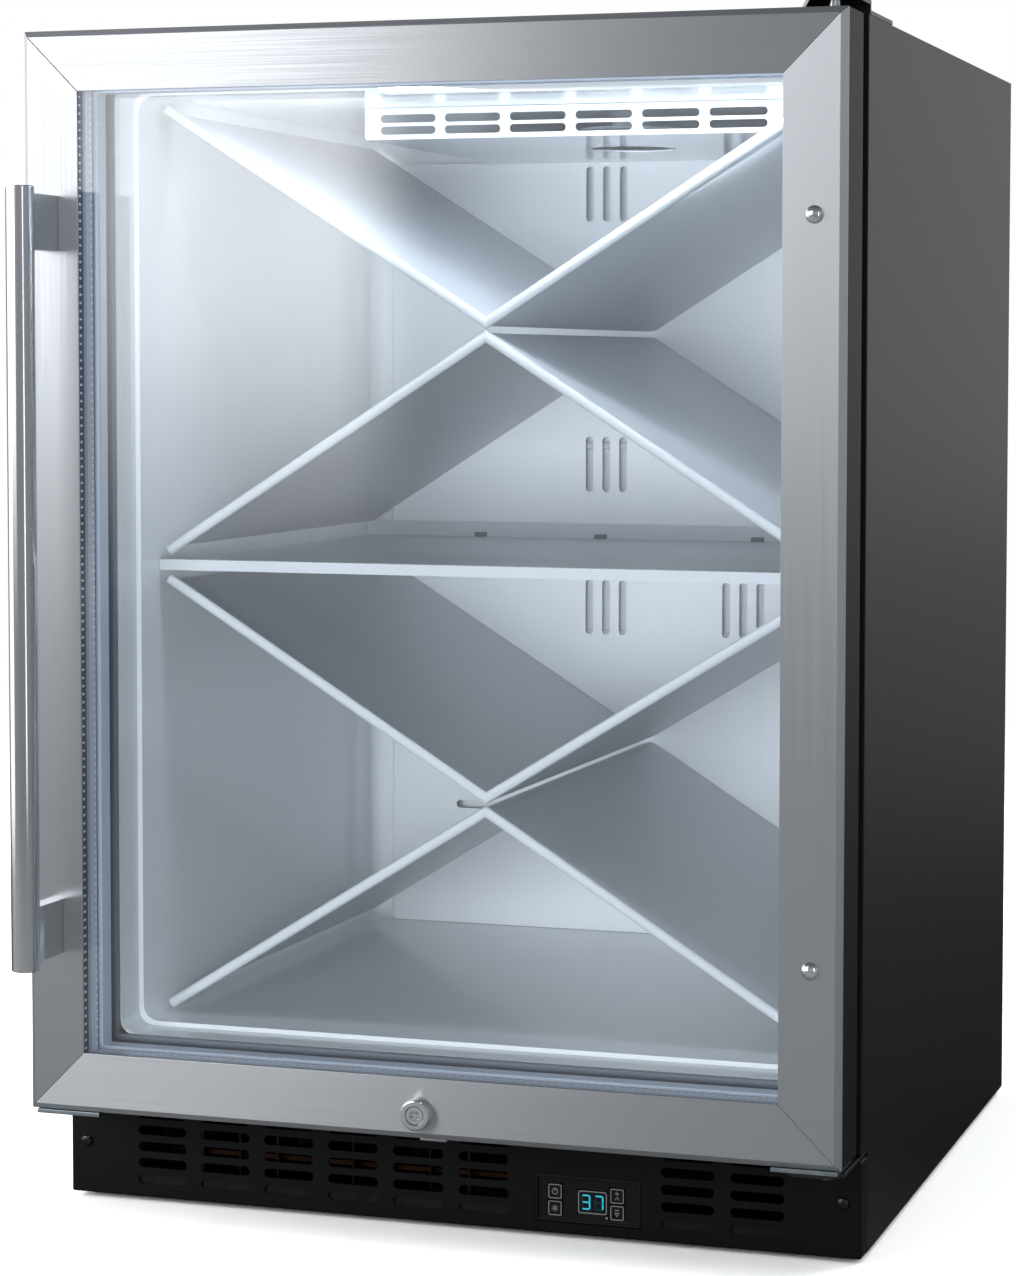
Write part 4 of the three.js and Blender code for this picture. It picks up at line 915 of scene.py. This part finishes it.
def brushed_steel(name, along, colour=(0.565, 0.59, 0.62), roughness=0.36, anisotropy=0.85, streak=0.035):
    """Brushed stainless: fine scratches stretched along one axis, in the relief and the gloss."""
    finish = bpy.data.materials.new(name)
    finish.use_nodes = True
    nodes = finish.node_tree.nodes
    links = finish.node_tree.links
    shader = nodes["Principled BSDF"]
    shader.inputs["Metallic"].default_value = 1.0
    shader.inputs["Anisotropic"].default_value = anisotropy
    place = nodes.new("ShaderNodeTexCoord")
    stretch = nodes.new("ShaderNodeMapping")
    stretch.vector_type = "POINT"
    stretch.inputs["Scale"].default_value = tuple(7.0 if axis == along else 1500.0 for axis in "XYZ")
    scratches = nodes.new("ShaderNodeTexNoise")
    scratches.inputs["Scale"].default_value = 1.0
    scratches.inputs["Detail"].default_value = 4.0
    gloss = nodes.new("ShaderNodeMapRange")
    gloss.inputs["From Min"].default_value = 0.3
    gloss.inputs["From Max"].default_value = 0.7
    gloss.inputs["To Min"].default_value = roughness - 0.05
    gloss.inputs["To Max"].default_value = roughness + 0.07
    tone = nodes.new("ShaderNodeMix")
    tone.data_type = "RGBA"
    tone.inputs["A"].default_value = tuple(c * (1 - streak) for c in colour) + (1.0,)
    tone.inputs["B"].default_value = tuple(min(1.0, c * (1 + streak)) for c in colour) + (1.0,)
    relief = nodes.new("ShaderNodeBump")
    relief.inputs["Distance"].default_value = 0.004 * MM
    relief.inputs["Strength"].default_value = 0.25
    tangent = nodes.new("ShaderNodeTangent")
    tangent.direction_type = "UV_MAP"
    tangent.uv_map = "grain"
    links.new(place.outputs["Object"], stretch.inputs["Vector"])
    links.new(stretch.outputs["Vector"], scratches.inputs["Vector"])
    links.new(scratches.outputs["Fac"], gloss.inputs["Value"])
    links.new(gloss.outputs["Result"], shader.inputs["Roughness"])
    links.new(scratches.outputs["Fac"], tone.inputs["Factor"])
    links.new(tone.outputs["Result"], shader.inputs["Base Color"])
    links.new(scratches.outputs["Fac"], relief.inputs["Height"])
    links.new(relief.outputs["Normal"], shader.inputs["Normal"])
    links.new(tangent.outputs["Tangent"], shader.inputs["Tangent"])
    return finish


def grain_map(bm, along):
    """A UV map whose V runs along the brushing on every face, so the sheen spreads across it."""
    layer = bm.loops.layers.uv.new("grain")
    run = Vector((1, 0, 0)) if along == "X" else Vector((0, 0, 1))
    bm.normal_update()
    for face in bm.faces:
        across = face.normal.cross(run)
        if across.length < 0.05:
            across = Vector((0, 1, 0))
        across.normalize()
        ahead = run if abs(face.normal.dot(run)) < 0.9 else across.cross(face.normal)
        for loop in face.loops:
            loop[layer].uv = (loop.vert.co.dot(across), loop.vert.co.dot(ahead))
    return bm


brushed_across = brushed_steel("brushed_across", "X")
brushed_upright = brushed_steel("brushed_upright", "Z")
for side, along, finish in (
    ("top", "X", brushed_across), ("bottom", "X", brushed_across),
    ("left", "Z", brushed_upright), ("right", "Z", brushed_upright),
):
    node = "door_trim_" + side
    shape = grain_map(worked_copy(node, 0.3, 2, angle=20), along)
    put(side + "_trim", shape, finish, "door", "brushed_stainless", node)

# ------------------------------------------------------------------ glass unit
# Two 4 mm panes of faintly blue glass with an aluminium spacer between them; the spacer has
# two rows of tiny breather holes towards the gap.


def clear_glass(name, tint, least=0.055):
    """Thin glass: clear, with a reflection that rises towards grazing."""
    finish = bpy.data.materials.new(name)
    finish.use_nodes = True
    nodes = finish.node_tree.nodes
    links = finish.node_tree.links
    nodes.clear()
    output = nodes.new("ShaderNodeOutputMaterial")
    mix = nodes.new("ShaderNodeMixShader")
    clear = nodes.new("ShaderNodeBsdfTransparent")
    clear.inputs["Color"].default_value = tint + (1.0,)
    shine = nodes.new("ShaderNodeBsdfGlossy")
    shine.inputs["Roughness"].default_value = 0.02
    facing = nodes.new("ShaderNodeLayerWeight")
    facing.inputs["Blend"].default_value = 0.5
    rise = nodes.new("ShaderNodeMath")
    rise.operation = "POWER"
    rise.inputs[1].default_value = 5.0
    share = nodes.new("ShaderNodeMapRange")
    share.inputs["To Min"].default_value = least
    share.inputs["To Max"].default_value = 0.85
    links.new(facing.outputs["Facing"], rise.inputs[0])
    links.new(rise.outputs["Value"], share.inputs["Value"])
    links.new(share.outputs["Result"], mix.inputs["Fac"])
    links.new(clear.outputs["BSDF"], mix.inputs[1])
    links.new(shine.outputs["BSDF"], mix.inputs[2])
    links.new(mix.outputs["Shader"], output.inputs["Surface"])
    return finish


pane_glass = clear_glass("pane_glass", (0.975, 0.985, 0.99))
put("front_pane", worked_copy("outer_glass", 0.5, 1), pane_glass, "door", "clear_glass", "outer_glass")
put("rear_pane", worked_copy("inner_glass", 0.5, 1), pane_glass, "door", "clear_glass", "inner_glass")


def spacer_metal(name):
    """Satin aluminium with painted shade in three bands across its depth, dark at the front pane and light at
    the back one, and two rows of bright breather holes along it.
    """
    finish = powder_coat(name, (0.62, 0.66, 0.72), 0.45, grain=500.0, depth=0.01, Metallic=0.5)
    nodes = finish.node_tree.nodes
    links = finish.node_tree.links
    shader = nodes["Principled BSDF"]
    place = nodes.new("ShaderNodeTexCoord")
    split = nodes.new("ShaderNodeSeparateXYZ")
    links.new(place.outputs["Object"], split.inputs["Vector"])

    def step(operation, first, second=None, third=None):
        node = nodes.new("ShaderNodeMath")
        node.operation = operation
        for socket, value in zip(node.inputs, (first, second, third)):
            if value is None:
                continue
            if isinstance(value, (int, float)):
                socket.default_value = value
            else:
                links.new(value, socket)
        return node.outputs["Value"]

    # Painted shade: the one aluminium steps from dark at the front pane to light at the back pane.
    shade_by_depth = nodes.new("ShaderNodeMapRange")
    shade_by_depth.inputs["From Min"].default_value = -272.0 * MM
    shade_by_depth.inputs["From Max"].default_value = -248.0 * MM
    shades = nodes.new("ShaderNodeValToRGB")
    shades.color_ramp.interpolation = "CONSTANT"
    shades.color_ramp.elements[0].color = (0.10, 0.115, 0.15, 1.0)
    shades.color_ramp.elements[1].position = 0.36
    shades.color_ramp.elements[1].color = (0.42, 0.46, 0.54, 1.0)
    lightest = shades.color_ramp.elements.new(0.55)
    lightest.color = (0.62, 0.67, 0.76, 1.0)
    links.new(split.outputs["Y"], shade_by_depth.inputs["Value"])
    links.new(shade_by_depth.outputs["Result"], shades.inputs["Fac"])
    rows = []
    for row in (-268.0, -250.6):
        away = step("SUBTRACT", split.outputs["Y"], row * MM)
        rows.append(step("ABSOLUTE", away))
    nearest_row = step("MULTIPLY", step("MINIMUM", rows[0], rows[1]), 0.5)
    along = step("ADD", split.outputs["X"], split.outputs["Z"])
    beat = step("PINGPONG", along, 2.9 * MM)
    far = step("SQRT", step("ADD", step("POWER", nearest_row, 2.0), step("POWER", beat, 2.0)))
    hole = step("LESS_THAN", far, 0.95 * MM)
    dark = nodes.new("ShaderNodeMix")
    dark.data_type = "RGBA"
    dark.inputs["B"].default_value = (0.90, 0.94, 1.0, 1.0)
    links.new(hole, dark.inputs["Factor"])
    links.new(shades.outputs["Color"], dark.inputs["A"])
    links.new(dark.outputs["Result"], shader.inputs["Base Color"])
    return finish


lit_inside.objects.link(
    put("spacer_bar", worked_copy("glass_spacer", 0.4, 2), spacer_metal("spacer_aluminium"),
        "door", "bare_aluminium", "glass_spacer"))

# ------------------------------------------------------------------ door core and gasket
# Black moulded core under the steel, a grey inner frame snapped in behind the glass, and a
# soft magnetic gasket with a folded bellows that closes on the mouth frame.

put("door_shell", worked_copy("door_core", 0.8), black_abs, "door", "black_plastic", "door_core")
inner_grey = powder_coat("inner_frame_grey", (0.42, 0.47, 0.56), 0.4, grain=500.0, depth=0.02)
lit_inside.objects.link(put("inner_frame", worked_copy("door_inner_frame", 0.8), inner_grey, "door",
                            "grey_plastic", "door_inner_frame"))

gasket_low, gasket_high = (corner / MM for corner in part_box("door_gasket"))
GASKET_PROFILE = [
    (4.0, 0.0), (8.0, 0.1), (12.0, 0.0), (12.6, 0.8), (11.2, 3.4), (13.6, 5.6), (15.6, 8.4), (16.0, 12.0),
    (15.6, 15.2), (14.4, 16.0), (8.5, 15.8), (2.4, 16.0), (0.6, 15.0), (0.0, 12.0), (0.6, 8.6), (2.8, 5.8),
    (4.6, 3.4), (3.4, 0.8),
]
depth_scale = (gasket_high.y - gasket_low.y) / 16.0
gasket = bmesh.new()
loops = []
for inset, depth in GASKET_PROFILE:
    loops.append(outline_loop(
        gasket, 0, (gasket_low.z + gasket_high.z) / 2, gasket_high.x * 2 - inset * 2,
        gasket_high.z - gasket_low.z - inset * 2, 4.0, gasket_low.y + depth * depth_scale, 16))
for i in range(len(loops)):
    bmesh.ops.bridge_loops(gasket, edges=loops[i] + loops[(i + 1) % len(loops)])
bmesh.ops.recalc_face_normals(gasket, faces=gasket.faces)
gasket_grey = powder_coat("gasket_grey", (0.16, 0.18, 0.21), 0.6, grain=700.0, depth=0.03)
lit_inside.objects.link(put("gasket", gasket, gasket_grey, "door", "black_rubber", "door_gasket", smooth=60))

# ------------------------------------------------------------------ handle
# Satin stainless tube, 20 mm across, on two flat brackets screwed through the left trim.

handle_steel = brushed_steel("handle_steel", "Z", (0.66, 0.68, 0.70), 0.13, 0.4, 0.04)
bar_low, bar_high = (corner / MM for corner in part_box("handle_bar"))
BAR_R = (bar_high.x - bar_low.x) / 2
profile = [(0, bar_low.z), (BAR_R - 1.4, bar_low.z), (BAR_R - 0.6, bar_low.z + 0.25),
           (BAR_R - 0.15, bar_low.z + 0.7),
           (BAR_R, bar_low.z + 1.4), (BAR_R, bar_high.z - 1.4), (BAR_R - 0.15, bar_high.z - 0.7),
           (BAR_R - 0.6, bar_high.z - 0.25), (BAR_R - 1.4, bar_high.z), (0, bar_high.z)]
bar = turned(profile, 72)
bmesh.ops.translate(bar, verts=bar.verts,
                    vec=Vector(((bar_low.x + bar_high.x) / 2, (bar_low.y + bar_high.y) / 2, 0)) * MM)
put("handle_tube", grain_map(bar, "Z"), handle_steel, "door", "polished_stainless", "handle_bar")
for end in ("upper", "lower"):
    node = end + "_handle_bracket"
    put(end + "_bracket", grain_map(worked_copy(node, 0.4), "Z"), handle_steel, "door",
        "brushed_stainless", node)

# ------------------------------------------------------------------ hole plugs and lock
# Bright domed plugs in the unused handle holes of the hinge side. The lock is a chromed
# bezel in the bottom trim with a turning cylinder, its round keyway round a small post,
# and a cam behind the door.

chrome = powder_coat("bright_chrome", (0.78, 0.79, 0.80), 0.08, grain=300.0, depth=0.002, spread=0.04,
                     drift=0.03, Metallic=1.0)
for end in ("upper", "lower"):
    node = end + "_hole_plug"
    low, high = (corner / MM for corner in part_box(node))
    profile = [(0, -0.3 - 3.0), (1.6, -3.2), (3.2, -2.7), (4.6, -1.95), (5.6, -1.0), (6.0, -0.3), (3.0, -0.3),
               (3.0, 4.5), (0, 4.5)]
    front = low.y + 3.3
    plug = turned(profile, 40, "Y")
    bmesh.ops.translate(plug, verts=plug.verts,
                        vec=Vector(((low.x + high.x) / 2, front, (low.z + high.z) / 2)) * MM)
    put(end + "_plug", plug, chrome, "door", "polished_stainless", node)

lock_low, lock_high = (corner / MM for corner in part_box("lock_body"))
LOCK_X = (lock_low.x + lock_high.x) / 2
LOCK_Z = (lock_low.z + lock_high.z) / 2
profile = [(6.6, 0.4), (6.9, 0), (9.2, 0), (10.2, 0.4), (10.8, 1.2), (11, 2.2), (11, 8.7), (9, 8.7), (9, 39),
           (6.6, 39)]
bezel = turned(profile, 56, "Y", closed=True)
bmesh.ops.translate(bezel, verts=bezel.verts, vec=Vector((LOCK_X, lock_low.y, LOCK_Z)) * MM)
put("lock_bezel", bezel, chrome, "door", "polished_stainless", "lock_body")
put("lock_barrel", worked_copy("lock_cylinder", 0.25, 2, angle=40), chrome, "lock_cylinder",
    "polished_stainless", "lock_cylinder", smooth=45)

# ------------------------------------------------------------------ corner plates
# Zinc-plated plates screwed under the door's bottom corners; the right one carries the pin.

corner_zinc = galvanised_finish("corner_plate_zinc", (0.38, 0.44, 0.47), 0.34)
for side in ("left", "right"):
    node = side + "_corner_plate"
    put(side + "_foot_plate", worked_copy(node, 0.4), corner_zinc, "door", "zinc_plate", node)

# ------------------------------------------------------------------ lamps that skip the inside
# The key softbox lights the outside only; it still shows as a haze on the glass.

key_outside = bpy.data.collections.new("key_outside")
for piece in lit_inside.objects:
    key_outside.objects.link(piece)
for entry in key_outside.collection_objects:
    entry.light_linking.link_state = "EXCLUDE"
key_softbox.light_linking.receiver_collection = key_outside

# The inner glow hangs beside the ceiling duct, so it skips the duct's cover.
glow_inside = bpy.data.collections.new("glow_inside")
for piece in lit_inside.objects:
    if piece.name != "ceiling_duct_cover":
        glow_inside.objects.link(piece)
inner_glow.light_linking.receiver_collection = glow_inside

# The front fill passes the panes unshaded, so the inside reads the same with the door open.
fill_blockers = bpy.data.collections.new("fill_blockers")
for pane in ("front_pane", "rear_pane"):
    fill_blockers.objects.link(bpy.data.objects[pane])
for entry in fill_blockers.collection_objects:
    entry.light_linking.link_state = "EXCLUDE"
front_fill.light_linking.blocker_collection = fill_blockers
